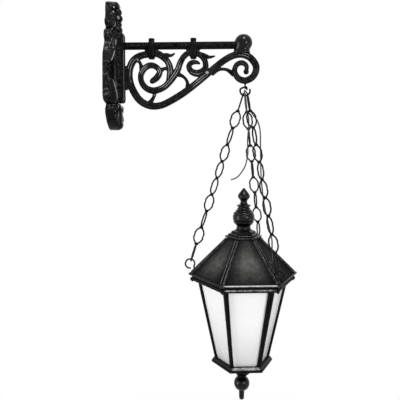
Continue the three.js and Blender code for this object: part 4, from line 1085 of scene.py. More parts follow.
# Ridges of the plate's side leaves: [half width, height, top], and a ridge's half width
PLATE_CRESTS = [
    ([(46, 34, 7), (44, 40, 9.5), (42.5, 46, 12.5), (43, 52, 15.5)], 4.2),
    ([(53, 3, 16.5), (48, 12, 18.5), (42, 21, 20), (37, 29, 20.5)], 4.2),
    ([(31, 38, 20), (29, 43, 20.5), (26, 49, 20.5), (24, 55, 20)], 3.4),
    ([(62, 2, 11), (58, 14, 15), (56, 26, 15), (52, 36, 14.5), (45, 44, 15.5), (37, 52, 16.5),
      (32, 62, 17)], 3.8),
    ([(52, -35, 19.5), (46, -46, 22), (40, -57, 23.5), (34, -67, 24), (30, -74, 23)], 4.2),
    ([(58, -22, 13.5), (53, -34, 16), (46, -46, 18), (38, -57, 18.5), (31, -67, 18)], 3.6),
    ([(65, -8, 6.5), (63, -24, 11), (59, -38, 14.5), (53, -50, 16), (46, -60, 16),
      (40, -70, 15)], 3.8),
    ([(40, 69, 11), (32, 75, 15), (30.5, 80, 19), (28, 88, 20.8)], 3.4),
    ([(34, 112, 9), (31, 121, 15), (22, 128, 19), (10, 131.5, 21.5), (0, 132.5, 22)], 4.6),
    ([(44, -74, 13), (34, -79, 16), (24, -82, 18)], 3.4),
    ([(34, -104, 13), (30, -114, 18), (23, -124, 22), (14, -131, 24)], 3.8),
    ([(0.0, -86.5, 22.5), (22, -87.5, 21.5), (31, -84.5, 17)], 3.4),
]
# The crests that carry a raised line painted pale as a highlight, and the line's radius
LINED = {0: 0.8, 1: 1.15, 2: 0.8, 4: 1.15, 7: 0.8}
# Beads on the plate, painted pale as highlight dots: [half width, height, radius]
BEADS = (
    (28, 120, 1.9), (29, 110, 2.1), (31, 89, 1.5), (25, 90, 1.6), (40, 33, 2.1), (59, 0, 1.9),
    (9.5, 103, 3.2),
)
# The crown's lobes up the middle: [height, half width, half height, top]
LOBES = (
    (129.5, 19, 9.0, 24.5), (117.0, 10, 9.0, 28.2), (104, 11, 10.0, 30.0), (91, 10, 9.5, 28.0),
    (79, 12, 10.0, 29.5),
)
# Berries: [half width, height, radius, top]
BERRIES = (
    (28, 120, 2.4, 18), (29, 110, 2.8, 17), (31, 89, 2.2, 13), (25, 90, 2.2, 15), (40, 33, 2.8, 19),
    (59, 0, 2.6, 11), (56, -12, 2.4, 14),
)
# Coiled ends: [half width, height, radius, rise, hand, base]
VOLUTES = (
    (30, 86, 8.5, 7.0, 1, 11.0), (50, 68, 8.5, 6.5, -1, 11.0), (57, -62, 10.0, 7.0, 1, 11.0),
    (34, -94, 10.5, 6.5, -1, 16.0),
)
# Swellings of the leaf tail: [half width, height, half width, half height, top, base, power]
SWELLS = (
    (0, -108, 17.0, 30.0, 28.6, 16.0, 0.3), (0, -94, 9.0, 8.0, 29.8, 18.0, 0.5),
    (0, -125, 15.0, 12.4, 29.0, 8.0, 0.2), (25, -88, 12.0, 8.0, 25.0, 14.0, 0.35),
)


def edge_width(z):
    return np.interp(z, EDGE_HEIGHTS, EDGE_WIDTHS)


def plate_relief(y, z):
    """The front's distance from the wall and the distance in from the edge, over arrays."""
    ay = np.abs(y)
    inside = np.clip(edge_width(z) - ay, 0, None)
    crown = 1 / (1 + np.exp(-(z - 0.56 * PLATE_H) / 1.6))
    tail = 1 / (1 + np.exp((z + 0.6 * PLATE_H) / 1.6))
    swell = 5.0 * np.clip((58 - ay) / 36, 0, 1) * (1 - crown) * (1 - tail)
    ground = 9.0 + 2.0 * crown + 8.0 * tail + swell
    lift = np.clip(inside / 7.0, 0, 1)
    front = 3.0 + (ground - 3.0) * np.sqrt(1 - (1 - lift) ** 2)
    front = front + 1.5 * np.exp(-(((inside - 4.2) / 1.7) ** 2))

    def leaf(value, cy, cz, half_wide, half_long, lean, height, base):
        """A pointed leaf with a sunk midrib and side veins, leaned by radians from upright."""
        for side in (-1, 1) if cy or lean else (-1,):
            oy, oz = y - side * cy, z - cz
            u = oy * math.cos(side * lean) + oz * math.sin(side * lean)
            v = -oy * math.sin(side * lean) + oz * math.cos(side * lean)
            taper = np.clip(1 - (v / half_long) ** 2, 0, 1) ** 0.7
            rho = np.abs(u) / np.maximum(half_wide * taper, 0.01)
            body = np.sqrt(np.clip(1 - rho**2, 0, 1)) * np.clip(taper * 1.6, 0, 1)
            vein = 0.22 * np.exp(-((u / 0.9) ** 2))
            ribs = 0.1 * (0.5 + 0.5 * np.cos((np.abs(u) * 0.9 + v) * 2 * math.pi / 4.6))
            here = base + height * (body - vein * body - ribs * body)
            value = np.maximum(value, np.where((rho < 1) & (taper > 0), here, 0))
        return value

    def volute(value, cy, cz, radius, height, hand, base):
        """A coiled end with a raised eye."""
        oy, oz = ay - cy, z - cz
        d = np.hypot(oy, oz)
        coil = 0.5 + 0.5 * np.cos(hand * np.arctan2(oz, oy) - 2 * math.pi * d / (radius * 0.52))
        dome = np.sqrt(np.clip(1 - (d / radius) ** 2, 0, 1))
        eye = np.exp(-((d / (radius * 0.24)) ** 2))
        here = base + height * (0.42 * dome + 0.4 * coil * dome + 0.35 * eye)
        return np.maximum(value, np.where(d < radius, here, 0))

    def crest(value, path, radius):
        """A sharp-backed ridge along a path of (half width, height, top) and its mirror image."""
        near, top = np.full(y.shape, 1e9), np.zeros(y.shape)
        line = spline(path, 4)
        for (y0, z0, t0), (y1, z1, t1) in zip(line, line[1:]):
            dy, dz = y1 - y0, z1 - z0
            s = np.clip(((ay - y0) * dy + (z - z0) * dz) / (dy * dy + dz * dz), 0, 1)
            d = np.hypot(ay - y0 - s * dy, z - z0 - s * dz)
            top = np.where(d < near, t0 + s * (t1 - t0), top)
            near = np.minimum(near, d)
        fall = np.clip(1 - near / radius, 0, 1)
        return np.maximum(value, np.where(near < radius, value + (top - value) * fall**0.8, 0))

    def boss(value, cy, cz, wide, long, top, base, power=0.5):
        """A round lobe with its mirror image; a lower power squares it."""
        rho = np.clip(((ay - cy) / wide) ** 2 + ((z - cz) / long) ** 2, 0, 1)
        return np.maximum(value, np.where(rho < 1, base + (top - base) * (1 - rho) ** power, 0))

    for lean, reach in ((0.9, 0.8), (0.46, 0.95)):
        tilt, half = lean * 0.62, 22 * reach
        middle = (lean * 13 + math.sin(tilt) * half, 77 + math.cos(tilt) * half)
        front = leaf(front, *middle, 7.2, half, -tilt, 6.5, 12.0)
    front = leaf(front, 0, 77 + 24, 8.0, 25, 0, 6.5, 13.5)
    for cz, wide, size, top in LOBES:
        front = boss(front, 0, cz, wide, size, top, 15.0, 0.38)
    for cy, cz, size, top in BERRIES:
        front = boss(front, cy, cz, size, size, top, 8.0)
    for path, radius in PLATE_CRESTS:
        front = crest(front, path, radius)
    for level in (20 + 5.2 * k for k in range(5)):
        flute = [(64.5, level, 6.5), (60, level + 1.6, 12), (54, level + 0.4, 14)]
        front = crest(front, flute, 2.2)
    zigzag = [(61 if k % 2 else 51, 5 - 5 * k, 12.5 if k % 2 else 15.5) for k in range(6)]
    front = crest(front, zigzag, 2.6)
    for place in VOLUTES:
        front = volute(front, *place)
    for cy, lean, reach in ((14, 0.36, 15), (24, 0.7, 9)):
        front = leaf(front, cy, -108, 7.0, reach + 6, lean, 5.0, 19.5)
    for place in SWELLS:
        front = boss(front, *place)
    land = (ay < LAND_HALF) & (z > LAND_FOOT) & (z < LAND_TOP)
    fall = np.clip((LAND_HALF - ay) / LAND_EDGE, 0, 1) * np.clip((z - LAND_FOOT) / LAND_EDGE, 0, 1)
    fall = fall * np.clip((LAND_TOP - z) / LAND_EDGE, 0, 1)
    flat = np.where(land, 14 + 6.0 * fall, 0)
    front = np.where(land, np.maximum(flat, np.where(ay < 15, 0, np.minimum(front, 19.9))), front)
    return np.clip(front, 2.5, 30.0), inside


def plate_lines():
    """Lines along some crests, laid on the relief inside its edge, and beads, all painted pale as
    highlights.
    """
    lines = []
    for which, size in LINED.items():
        line = spline(PLATE_CRESTS[which][0], 4)
        count = len(line)
        thick = [size * min(1.0, (i + 1.5) / 5, (count - i + 0.5) / 5) for i in range(count)]
        height = np.array([q[1] for q in line])
        wide = np.minimum([q[0] for q in line], edge_width(height) - 2.5)
        top, _ = plate_relief(wide, height)
        for side in (-1, 1):
            lines.append(tube([(x, side * y, z) for x, y, z in zip(top, wide, height)], thick, 8))
    for wide, height, size in BEADS:
        top = float(plate_relief(np.array([wide]), np.array([height]))[0][0])
        for side in (-1, 1):
            middle = (top - size * 0.5, side * wide, height)
            lines.append(ball(middle, (size, size, size * 1.15), 12, 8))
    piece("plate_lines", merge(lines), "bracket", highlight_line_paint, "wall_plate", 60)


def make_plate():
    """The plate's relief over a hollow back, as a grid that narrows with the edge."""
    bend = (1 - np.cos(np.linspace(0, math.pi / 2, 9))) * 8.0
    between = np.linspace(9.0 - PLATE_H, PLATE_H - 9.0, 232)
    heights = np.concatenate([bend - PLATE_H, between, PLATE_H - bend[::-1]])
    quarter = math.pi / 2
    columns = np.sin(np.linspace(-quarter, quarter, 121) * 0.96) / math.sin(quarter * 0.96)
    y = columns[None, :] * np.maximum(edge_width(heights), 2.0)[:, None]
    z = np.repeat(heights[:, None], len(columns), axis=1)
    front, inside = plate_relief(y, z)
    hollow = np.clip(front - PLATE_WALL, 0, None) * np.clip((inside - PLATE_WALL) / 1.5, 0, 1)
    hollow = np.where((np.abs(y) < LAND_HALF) & (z > BAR_FOOT) & (z < BAR_TOP), 0, hollow)
    hollow[:4] = 0
    hollow[-4:] = 0
    rows, cols = y.shape
    points = [p for x in (front, hollow) for p in zip(x.flat, y.flat, z.flat)]
    second = rows * cols
    faces = []
    for a in (i * cols + j for i in range(rows - 1) for j in range(cols - 1)):
        b = a + second
        faces += [(a, a + 1, a + cols + 1, a + cols), (b, b + cols, b + cols + 1, b + 1)]
    rim = [(i * cols + j, (i + 1) * cols + j) for i in range(rows - 1) for j in (0, cols - 1)]
    rim += [(i * cols + j, i * cols + j + 1) for j in range(cols - 1) for i in (0, rows - 1)]
    faces += [(a, b, b + second, a + second) for a, b in rim]
    plate_lines()
    piece("plate_casting", (points, faces), "bracket", plate_paint, "wall_plate", 60)


make_plate()


# ---------------------------------------------------------------- finial, cap, roof
CAP_FOOT, CAP_RISE, CAP_R = NECK_TOP + FIT, 18.7, 42
CAP_TOP = CAP_FOOT + CAP_RISE
SOCKET_TOP = CAP_TOP + 21.6  # the finial's bore for the stem
FINIAL_FOOT = CAP_TOP + FIT
# The finial from its foot up: [radius, height], before it is made fuller below and above its neck
FINIAL = [
    (15.6, 0.0), (15.4, 1.4), (14.6, 2.8), (14.4, 4.6), (15.2, 7.0), (17.8, 9.7), (20.0, 12.4),
    (21.6, 16.0), (21.8, 17.2), (20.9, 18.0), (22.0, 18.9), (22.6, 21.0), (22.8, 26.0),
    (22.4, 30.2), (21.9, 31.6), (21.0, 32.4), (21.5, 33.4), (20.8, 35.6), (19.2, 37.6),
    (17.8, 38.3), (16.7, 39.2), (17.3, 40.0), (16.4, 41.4), (14.6, 42.6), (13.4, 43.6),
    (13.8, 44.6), (13.0, 46.4), (11.4, 47.6), (11.2, 48.8), (13.4, 49.9), (14.5, 50.8),
    (14.6, 51.8), (13.6, 52.9), (10.2, 54.2), (7.8, 56.0), (6.9, 58.4), (6.8, 61.0), (7.4, 63.2),
    (9.2, 65.6), (11.2, 68.0), (12.2, 70.6), (12.3, 73.0), (11.3, 76.3), (9.1, 79.9), (6.1, 84.0),
    (3.0, 88.2), (1.2, 90.4), (0.0, 91.0),
]
NECK_AT, LOWER_SHARE, UPPER_SHARE = 48, 1.06, 1.09
# The cap from its foot up: [radius share, height share]
CAP = [
    (0.72, 0.0), (0.97, 0.0), (1.0, 0.06), (1.0, 0.13), (0.965, 0.19), (0.85, 0.225), (0.825, 0.27),
    (0.83, 0.38), (0.79, 0.44), (0.69, 0.49), (0.665, 0.54), (0.665, 0.66), (0.62, 0.73),
    (0.5, 0.82), (0.44, 0.9), (0.37, 1.0),
]
# The cap's two lines, painted pale on the front as a highlight: [corner radius, foot]
CAP_LINES = {"low": (CAP_R, CAP_FOOT + 1.2), "high": (34.9, CAP_FOOT + 5.6)}


def make_finial():
    outer = [
        (r * (LOWER_SHARE if z < NECK_AT else UPPER_SHARE), FINIAL_FOOT + z) for r, z in FINIAL
    ]
    socket = [(0, SOCKET_TOP), (5.3, SOCKET_TOP - 0.3), (5.3, FINIAL_FOOT), (14.0, FINIAL_FOOT)]
    piece("finial_turning", lathe(socket + outer, 64), "crown_nut", turned_paint, "top_finial", 55)


def make_cap():
    for name, (reach, low) in CAP_LINES.items():
        profile = [
            (reach - 2.6, low + 1.9), (reach - 0.9, low + 1.7), (reach, low + 1.0),
            (reach - 0.3, low + 0.2), (reach - 2.6, low),
        ]
        form = hex_form(profile, 1.0)
        piece(f"cap_line_{name}", form, "roof_and_chains", front_highlight_paint, "roof_cap", 50)
    profile = rounded([(CAP_R * r, CAP_FOOT + CAP_RISE * h) for r, h in CAP], 0.7, 2)
    profile += [(STEM_BORE, CAP_TOP), (STEM_BORE, CAP_FOOT)]
    piece("cap_casting", hex_form(profile, 1.8), "roof_and_chains", cap_paint, "roof_cap", 40)


def roof_shell():
    """The roof's outside and underside as one closed six-sided form."""
    inner = ROOF_WALL / math.cos(math.atan(HIP))
    crest_r = TOP_R - (NECK_TOP - 0.5 - TOP_Z) / HIP
    outer = [
        (STEM_BORE, NECK_TOP), (crest_r - 0.6, NECK_TOP), (crest_r, hip_height(crest_r)),
        (FOOT_R - 4.5, hip_height(FOOT_R - 4.5)), (FOOT_R - 2.0, -454.9), (FOOT_R, -455.8),
        (EAVE_R - 3.4, -456.4), (EAVE_R - 2.2, -456.2), (EAVE_R - 1.4, -456.0),
        (EAVE_R - 0.7, -456.19), (EAVE_R - 0.19, -456.7), (EAVE_R, -457.4), (EAVE_R - 0.19, -458.1),
        (EAVE_R - 0.7, -458.61), (EAVE_R - 1.4, -458.8),
    ]
    under = [
        (FOOT_R - 2 * ROOF_WALL, -458.8), (FOOT_R - 2 * ROOF_WALL, -458.2), (TOP_R, TOP_Z - inner),
        (NECK_R - ROOF_WALL, TOP_Z - inner / 2), (NECK_R - ROOF_WALL, NECK_TOP - ROOF_WALL),
        (STEM_BORE, NECK_TOP - ROOF_WALL),
    ]
    return hex_form(outer + under, 0.8)


def sink_panels(made, margin, depth):
    """Sinks each big sloping face behind a margin, with a chamfered step."""
    work = bmesh.new()
    work.from_mesh(made.data)
    big = [f for f in work.faces if f.calc_area() > 0.003 and 0.3 < f.normal.z < 0.95]
    for width, drop in ((margin, 0.0), (1.4, depth), (2.2, 0.0)):
        bmesh.ops.inset_individual(work, faces=big, thickness=width * MM, depth=-drop * MM)
    work.to_mesh(made.data)
    work.free()
    made.data.shade_smooth()
    made.data.set_sharp_from_angle(angle=math.radians(26))


# A rib's section: [across share, rise share], two beads with a groove between
RIB = mirrored(
    [(-1, -1.4), (-1, 0.1), (-0.9, 0.62), (-0.72, 0.95), (-0.5, 1.0), (-0.3, 0.78), (-0.14, 0.4)]
)
RIB_TAPER = 0.18  # how much narrower a rib starts at the roof's top
PANEL_MARGIN, PANEL_DEPTH = 6.4, 1.3


def hip_rib(degrees):
    out = radial(degrees)
    across = sideways(out)
    foot, steps = FOOT_R + RIB_RISE, 12
    rings = []
    for k in range(steps + 1):
        t = k / steps
        radius = TOP_R - 2.2 + (foot - TOP_R + 2.2) * t
        width = RIB_HALF * (1 - RIB_TAPER + RIB_TAPER * t)
        rise, drop = (RIB_RISE, 0.0) if k < steps else (RIB_RISE * 0.62, 0.7)
        low = hip_height(radius) - drop
        rings.append(
            [axis_point(low + w * rise) + out * radius + across * u * width for u, w in RIB]
        )
    return loft(rings)


def rib_lines(degrees):
    """Painted highlight lines along the backs of a rib's two beads."""
    out = radial(degrees)
    across = sideways(out)
    for side in (-1, 1):
        path = []
        for t in (step / 8 for step in range(9)):
            radius = TOP_R - 1.6 + (FOOT_R - TOP_R + 0.6) * t
            offset = across * side * RIB_HALF * 0.6 * (1 - RIB_TAPER + RIB_TAPER * t)
            path.append(axis_point(hip_height(radius) + 0.8 * RIB_RISE) + out * radius + offset)
        yield tube(path, 0.75, 8, end_round=True)


def make_roof():
    eave = [
        (EAVE_R - 3.0, -456.4), (EAVE_R - 2.7, -455.2), (EAVE_R - 1.9, -454.5),
        (EAVE_R - 0.8, -454.8), (EAVE_R - 0.1, -455.7), (EAVE_R - 0.3, -456.7),
        (EAVE_R - 1.2, -457.2), (EAVE_R - 3.0, -457.2),
    ]
    # The eave bead's front is painted pale as a highlight.
    piece("eave_bead", hex_form(eave, 1.0), "roof_and_chains", eave_highlight_paint, "roof", 50)
    shell = cast_object("roof_shell", roof_shell(), 26)
    sink_panels(shell, PANEL_MARGIN, PANEL_DEPTH)
    finish_piece(shell, "roof_and_chains", black_roof, "roof")
    lines = [line for degrees in CORNERS for line in rib_lines(degrees)]
    piece("roof_rib_lines", merge(lines), "roof_and_chains", rib_highlight_paint, "roof", 60)
    ribs = merge([hip_rib(degrees) for degrees in CORNERS])
    piece("roof_ribs", ribs, "roof_and_chains", black_roof, "roof", 60)


make_finial()
make_cap()
make_roof()


# ---------------------------------------------------------------- lantern frame, base, tail
RIM_TOP = EAVE_Z - EAVE_LIP - FIT
RIM_R, RIM_H = 116.5, 13.0
POST_TOP_Z = RIM_TOP - RIM_H - FIT
POST_TOP_R, POST_FOOT_R, POST_H, POST_DEPTH = 102.0, 62.8, 178.0, 4.6
POST_FOOT_Z = POST_TOP_Z - POST_H
BASE_R, BASE_H = 69.8, 10.2
BASE_FOOT = POST_FOOT_Z - BASE_H
LEDGE_TOP = BASE_FOOT + 2.6
INSET = POST_DEPTH / COS30
PAN_DEPTH, PAN_WALL = 29.5, 2.4
LEDGE_WIDE = 4.6
PAN_TURN = BASE_FOOT - PAN_DEPTH * 0.42  # where the pan's slope turns to its cone
PAN_FOOT = BASE_FOOT - PAN_DEPTH
TAIL_END = -752.0


def post_radius(height):
    return POST_FOOT_R + (POST_TOP_R - POST_FOOT_R) * (height - POST_FOOT_Z) / POST_H


def pane_corner(height):
    """The corner radius inside the posts."""
    return post_radius(height) - INSET


# How wide each face's flange looks beside the nominal one, by the post's place round the body
POST_SHARES = [(0.78, 0.78), (0.78, 0.78), (0.78, 0.78), (0.78, 0.7), (0.74, 0.84), (1.16, 0.9)]
# A flange from its edge to the nose: [share of its reach, lift]
FLANGE = (
    (1.0, -4.4), (1.0, -0.6), (0.94, 0.25), (0.82, 0.5), (0.7, 0.2), (0.64, -0.35), (0.4, -0.4),
    (0.26, -0.1), (0.1, 0.05),
)


def post(place):
    """A corner post: two flanges that meet in a rounded nose, with a bead down each edge."""
    degrees = CORNERS[place]
    out = radial(degrees)
    rings = []
    for t in (0, 0.012, 0.03, *np.linspace(0.08, 0.9, 8), 0.94, 0.965, 0.985, 1.0):
        height = POST_FOOT_Z + POST_H * t
        flare = 0.9 * max(0, (t - 0.9) / 0.1) ** 2 + 1.4 * max(0, (0.03 - t) / 0.03) ** 2
        flange = 6 + 3 * (height - POST_FOOT_Z) / POST_H
        corner = axis_point(height) + out * post_radius(height)
        runs = []
        for side, share in zip((-1, 1), POST_SHARES[place]):
            face_dir, normal = radial(degrees + side * 120), radial(degrees + side * 30)
            reach = max(5.7, flange * share) + flare
            runs.append([corner + face_dir * reach * s + normal * lift for s, lift in FLANGE])
        rings.append([*runs[0], corner - out * 0.25, *runs[1][::-1], corner - out * (INSET + 0.2)])
    return loft(rings)


def bead_row(radius, height, size, pitch, inset):
    """Half-round beads along the six sides of a ring."""
    parts = []
    for k in range(6):
        a, b = (axis_point(height) + radial(TURN + 60 * (k + end)) * radius for end in (0, 1))
        length = float(np.linalg.norm(b - a))
        step = (b - a) / length
        count = int((length - 2 * inset) // pitch)
        start = (length - count * pitch) / 2
        parts += [ball(a + step * (start + i * pitch), (size,) * 3, 8, 4) for i in range(count + 1)]
    return parts


def make_frame():
    inner_top, inner_low = pane_corner(RIM_TOP), pane_corner(POST_TOP_Z - 1.6)
    rim = [
        (inner_top, RIM_TOP), (RIM_R, RIM_TOP), (RIM_R + 0.2, RIM_TOP - 1.4),
        (RIM_R - 1.0, RIM_TOP - 2.2), (RIM_R - 1.5, RIM_TOP - 4.6), (RIM_R - 1.4, RIM_TOP - 9.2),
        (RIM_R + 0.2, RIM_TOP - 9.9), (RIM_R + 0.1, RIM_TOP - 11.4), (RIM_R - 1.2, RIM_TOP - 12.6),
        (POST_TOP_R + 2.0, POST_TOP_Z), (POST_TOP_R - 0.6, POST_TOP_Z - 1.8),
        (inner_low, POST_TOP_Z - 1.8),
    ]
    parts = [hex_form(rounded(rim, 0.6, 2), 1.4)]
    parts += [post(k) for k in range(6)]
    for out in map(radial, CORNERS):
        middle = axis_point(RIM_TOP - RIM_H * 0.72) + out * (RIM_R - 1)
        parts.append(ball(middle, (3.6, 3.6, 4.2), 16, 10))
        parts.append(ball(middle + np.array([0, 0, -4.2]) - out * 1.6, (2.2,) * 3, 12, 8))
    ledge = pane_corner(LEDGE_TOP) - FIT - LEDGE_WIDE
    base = [
        (pane_corner(POST_FOOT_Z), POST_FOOT_Z + 0.3), (POST_FOOT_R - 0.6, POST_FOOT_Z + 0.3),
        (POST_FOOT_R + 0.4, POST_FOOT_Z - 0.6), (BASE_R - 3.6, POST_FOOT_Z - 1.6),
        (BASE_R - 2.5, POST_FOOT_Z - 3.6), (BASE_R - 2.2, POST_FOOT_Z - 4.9),
        (BASE_R - 0.6, POST_FOOT_Z - 5.4), (BASE_R, POST_FOOT_Z - 6.2), (BASE_R, BASE_FOOT + 0.9),
        (BASE_R - 0.9, BASE_FOOT), (ledge, BASE_FOOT), (ledge, LEDGE_TOP),
        (pane_corner(LEDGE_TOP), LEDGE_TOP),
    ]
    parts.append(hex_form(rounded(base, 0.5, 2), 1.4))
    band = [
        (BASE_R - 7.0, POST_FOOT_Z - 0.2), (BASE_R - 5.2, POST_FOOT_Z - 0.4),
        (BASE_R - 3.0, POST_FOOT_Z - 1.6), (BASE_R - 1.9, POST_FOOT_Z - 3.6),
        (BASE_R - 2.4, POST_FOOT_Z - 4.9), (BASE_R - 7.0, POST_FOOT_Z - 4.9),
    ]
    # The base band's front is painted pale as a highlight.
    piece("base_band", hex_form(band, 1.0), "lantern_body", front_highlight_paint, "lantern_frame", 50)
    # The rim beads' fronts are painted pale as a sparkling highlight.
    beads = bead_row(RIM_R - 0.9, RIM_TOP - 7.4, 1.9, 3.4, 5.0)
    piece("rim_beads", merge(beads), "lantern_body", front_highlight_paint, "lantern_frame", 60)
    piece("frame_casting", merge(parts), "lantern_body", black_paint, "lantern_frame", 40)


def make_pan():
    seat, top = LEDGE_TOP + FIT, LEDGE_TOP + FIT + PAN_WALL
    wide = pane_corner(LEDGE_TOP) - FIT
    through = wide - LEDGE_WIDE - FIT
    profile = [
        (STEM_BORE, PAN_FOOT), (14.2, PAN_FOOT), (14.8, PAN_FOOT + 0.8), (18.0, PAN_FOOT + 3.0),
        (22.5, PAN_FOOT + 5.6), (through * 0.54, PAN_FOOT + 11.0), (through * 0.62, PAN_TURN - 1.2),
        (through * 0.66, PAN_TURN + 0.4), (through * 0.82, BASE_FOOT - 5.0),
        (through - 0.4, BASE_FOOT - 0.9), (through, BASE_FOOT - FIT), (through, seat), (wide, seat),
        (wide, top), (through - PAN_WALL, top), (through * 0.62, PAN_TURN + 3.2),
        (17.0, PAN_FOOT + 8.6), (13.0, PAN_FOOT + 2 * PAN_WALL),
        (STEM_BORE, PAN_FOOT + 2 * PAN_WALL),
    ]
    form = hex_form(rounded(profile, 0.6, 2), 1.4)
    piece("pan_casting", form, "lantern_body", black_paint, "base_plate", 40)


def make_tail():
    seat, floor = PAN_FOOT - FIT, PAN_FOOT + 2 * PAN_WALL + FIT
    wide, tall = 17.8, 17.4
    centre = seat - 22 + FIT
    low = centre - tall
    profile = [
        (0, floor + 4.5), (8.1, floor + 4.5), (8.1, floor), (STEM_R, floor), (STEM_R, seat),
        (12.8, seat), (13.4, seat - 0.6), (12.4, seat - 2.2), (10.6, seat - 3.8), (9.0, seat - 5.2),
    ]
    profile += [(wide * cos(a), centre - 0.6 + tall * sin(a)) for a in range(60, -69, -8)]
    profile += [
        (6.5, low - 0.6), (6.2, low - 3.0), (5.9, TAIL_END + 8.0), (5.7, TAIL_END + 5.0),
        (5.0, TAIL_END + 2.2), (3.2, TAIL_END + 0.6), (1.5, TAIL_END + 0.1), (0, TAIL_END),
    ]
    piece("tail_turning", lathe(profile, 56), "tail_nut", turned_paint, "bottom_finial", 50)


make_frame()
make_pan()
make_tail()


# ---------------------------------------------------------------- panes and what stands inside
PANES = ["right_back", "back", "left_back", "left_front", "front", "right_front"]
PANE_THICK, PANE_EASE = 3.0, 0.6
PANE_SHADES = {"right_front": 0.84}
# A pane's section: [side share, which way the corners' ease moves it, depth share]
PANE_SECTION = (
    (-1, 0, -0.3), (-1, 0, -0.7), (-1, 1, -1), (-0.5, 0, -1), (0, 0, -1), (0.5, 0, -1), (1, -1, -1),
    (1, 0, -0.7), (1, 0, -0.3), (1, -1, 0), (0.5, 0, 0), (0, 0, 0), (-0.5, 0, 0), (-1, 1, 0),
)


def make_pane(name, degrees):
    """A tapered plate with eased edges."""
    out = radial(degrees)
    across = sideways(out)
    low, high = LEDGE_TOP + PAN_WALL + 2 * FIT, RIM_TOP - 3 - 3 * FIT
    rings = []
    for t in [0, 0.004, 0.01, *np.linspace(0.06, 0.94, 12), 0.99, 0.996, 1]:
        height = low + (high - low) * t
        apothem = pane_corner(height) * COS30 - FIT
        half = pane_corner(height) / 2 - PANE_THICK * math.tan(math.radians(30)) - FIT
        ease = 0.5 * max(0.0, 1 - min(t, 1 - t) / 0.01)
        section = []
        for u, eased, w in PANE_SECTION:
            deep = w * PANE_THICK + (ease if w < -0.5 else -ease)
            beside = across * (u + eased * PANE_EASE / half) * half
            section.append(axis_point(height) + out * (apothem + deep) + beside)
        rings.append(section)
    half_foot = pane_corner(-660) / 2 * MM
    half_rise = (post_radius(-460) - post_radius(-660)) / 2 * MM
    shade = PANE_SHADES.get(name, 1.0)
    opal = opal_glass(f"opal_{name}", tuple(float(v) for v in across), half_foot, half_rise, shade)
    piece(f"opal_{name}", loft(rings), "lantern_body", opal, f"pane_{name}", 40, "opal_glass")


STRAP_FOOT, NUT_TALL = RIM_TOP - 3, 4.5
HOLDER_TOP = STRAP_FOOT - NUT_TALL - 4 * FIT
HOLDER_FOOT = HOLDER_TOP - 46
LAMP_SEAT = HOLDER_FOOT + 27
LAMP_TOP, LAMP_R = LAMP_SEAT - FIT, 29
LAMP_LONG, LAMP_CAP = 88, 30


def make_stem():
    """A threaded tube with a nut each side of the strap."""
    foot, top = HOLDER_TOP - 9, CAP_TOP + 21
    profile = [(3.8, foot), (4.7, foot), (STEM_R, foot + 0.5)]
    height = foot + 1.0
    while height < top - 1.2:
        profile += [(STEM_R, height), (4.6, height + 0.6)]
        height += 1.2
    profile += [(4.7, top - 0.3), (4.4, top), (3.8, top), (3.8, foot)]
    parts = [lathe(profile, 32)]
    for low in (STRAP_FOOT - NUT_TALL - FIT, RIM_TOP + FIT):
        high = low + NUT_TALL
        nut = [(7.6, low), (8.9, low + 0.8), (8.9, low + 3.7), (7.6, high), (4.9, high), (4.9, low)]
        rings = [[(HANG + r * cos(60 * k), r * sin(60 * k), z) for k in range(6)] for r, z in nut]
        parts.append(loft(rings, closed=True))
    piece("stem_threaded", merge(parts), "lantern_body", steel, "stem_tube", 30, "plated_steel")


def make_holder():
    top, foot = HOLDER_TOP, HOLDER_FOOT
    profile = [
        (5.3, top), (9.5, top), (13.5, top - 1.8), (17.0, top - 5.6), (18.2, top - 9.0),
        (18.9, top - 12.0), (18.9, top - 26), (18.2, top - 26.6), (18.2, top - 28.0),
        (18.9, top - 28.6), (18.9, foot + 5), (18.4, foot + 1.2), (17.4, foot), (15.4, foot),
        (14.7, foot + 0.8), (14.7, LAMP_SEAT), (5.3, LAMP_SEAT + 4), (5.3, top),
    ]
    form = lathe(rounded(profile, 0.6, 2), 48)
    piece("holder_glazed", form, "lantern_body", porcelain, "lamp_holder", 40, "porcelain")


def make_bulb():
    top, foot = LAMP_TOP, LAMP_TOP - LAMP_CAP
    centre = top - LAMP_LONG + LAMP_R
    profile = [(0, top), (4.5, top), (5.5, top - 1.4), (12.2, top - 4.2)]
    height = top - 5
    while height > foot + 4:
        profile += [(12.9, height), (13.3, height - 1), (12.9, height - 2), (12.4, height - 2.5)]
        height -= 3.4
    profile += [(13.2, foot + 1.5), (13.3, foot), (13.8, foot - 0.6), (14.6, foot - 2.2)]
    profile += [(LAMP_R * cos(a), centre + LAMP_R * sin(a)) for a in range(58, -91, -7)]
    profile.append((0, centre - LAMP_R))
    piece("lamp_glass", lathe(profile, 48), "lamp", bulb_glass, "lamp_bulb", 40, "bulb_glass")


for index, pane_name in enumerate(PANES):
    make_pane(pane_name, TURN + 30 + 60 * index)
make_stem()
make_holder()
make_bulb()
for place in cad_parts["bridge_strap"].material_slots:
    place.material = steel


# ---------------------------------------------------------------- floor, world and lamps
FLOOR_Z, FLOOR_R = -1.25, 3.6  # metres
WHITE = (1, 1, 1, 1)


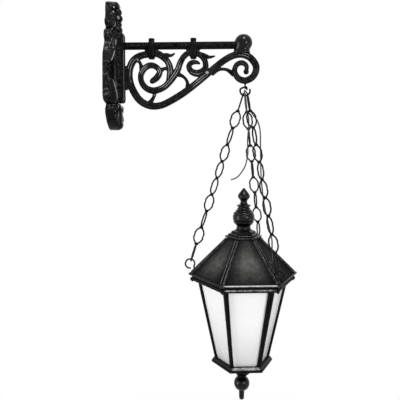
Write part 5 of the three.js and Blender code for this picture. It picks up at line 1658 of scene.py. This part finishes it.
def make_floor():
    """A pale disc below the lantern that fades to plain white away from it."""
    count, around = 24, 64
    points = [(HANG, 0.0, FLOOR_Z / MM)]
    for r in range(1, count + 1):
        points += [
            (HANG + FLOOR_R / MM * r / count * c, FLOOR_R / MM * r / count * s, FLOOR_Z / MM)
            for c, s in circle(around)
        ]
    faces = []
    for k in range(around):
        j = (k + 1) % around
        faces.append((0, 1 + k, 1 + j))
        for r in range(count - 1):
            a, b = 1 + r * around, 1 + (r + 1) * around
            faces.append((a + k, b + k, b + j, a + j))
    floor = cast_object("floor", (points, faces))
    material = bpy.data.materials.new("floor_white")
    g = Graph(material, "ShaderNodeOutputMaterial")
    matt = g.add("BsdfDiffuse", (0.8, 0.8, 0.8, 1)).outputs[0]
    white = g.add("Emission", WHITE, 1.0).outputs[0]
    away = g.vector("DISTANCE", g.add("TexCoord").outputs["Object"], (HANG * MM, 0.0, FLOOR_Z))
    rays = g.add("LightPath").outputs
    seen = g.calc("ADD", rays["Is Camera Ray"], rays["Is Glossy Ray"], clamp=True)
    shown = g.product(g.spread(away, 0.35, 1.0, 0.72, 1.0), seen)
    g.put(g.out, "Surface", g.add("MixShader", shown, matt, white).outputs[0])
    floor.data.materials.append(material)


def make_world():
    """Plain white to the camera, in reflections and through glass, and dimmer as a light."""
    world = bpy.data.worlds.new("studio")
    bpy.context.scene.world = world
    g = Graph(world, "ShaderNodeOutputWorld")
    ambient = g.add("Background", WHITE, 0.42).outputs[0]
    plain = g.add("Background", WHITE, 1.0).outputs[0]
    rays = g.add("LightPath").outputs
    shown = g.calc("MAXIMUM", rays["Is Camera Ray"], rays["Is Transmission Ray"])
    seen = g.calc("MAXIMUM", shown, rays["Is Glossy Ray"])
    g.put(g.out, "Surface", g.add("MixShader", seen, ambient, plain).outputs[0])


# Each lamp's place, width, height and power; all look at the lantern's middle
LAMPS = {
    "front_lamp": ((1.3, -1.35, -0.05), 0.45, 0.6, 12.0),
    "side_lamp": ((2.1, -0.7, -0.9), 0.3, 0.6, 2.5),
    "top_lamp": ((0.45, -0.8, 1.2), 0.35, 0.35, 15.0),
    "left_lamp": ((-1.6, -0.9, -0.4), 0.7, 1.2, 21.5),
    "back_lamp": ((0.3, 1.7, 0.5), 1.2, 1.0, 8.0),
}
MIDDLE = (0.27, 0.0, -0.3)

make_floor()
make_world()
for lamp_name, (place, wide, tall, power) in LAMPS.items():
    data = bpy.data.lights.new(lamp_name, "AREA")
    data.shape = "RECTANGLE"
    data.size, data.size_y, data.energy = wide, tall, power
    lamp = add_object(lamp_name, data)
    lamp.location = place
    lamp.rotation_euler = (Vector(MIDDLE) - Vector(place)).to_track_quat("-Z", "Y").to_euler()

bpy.context.scene.view_settings.view_transform = "Standard"
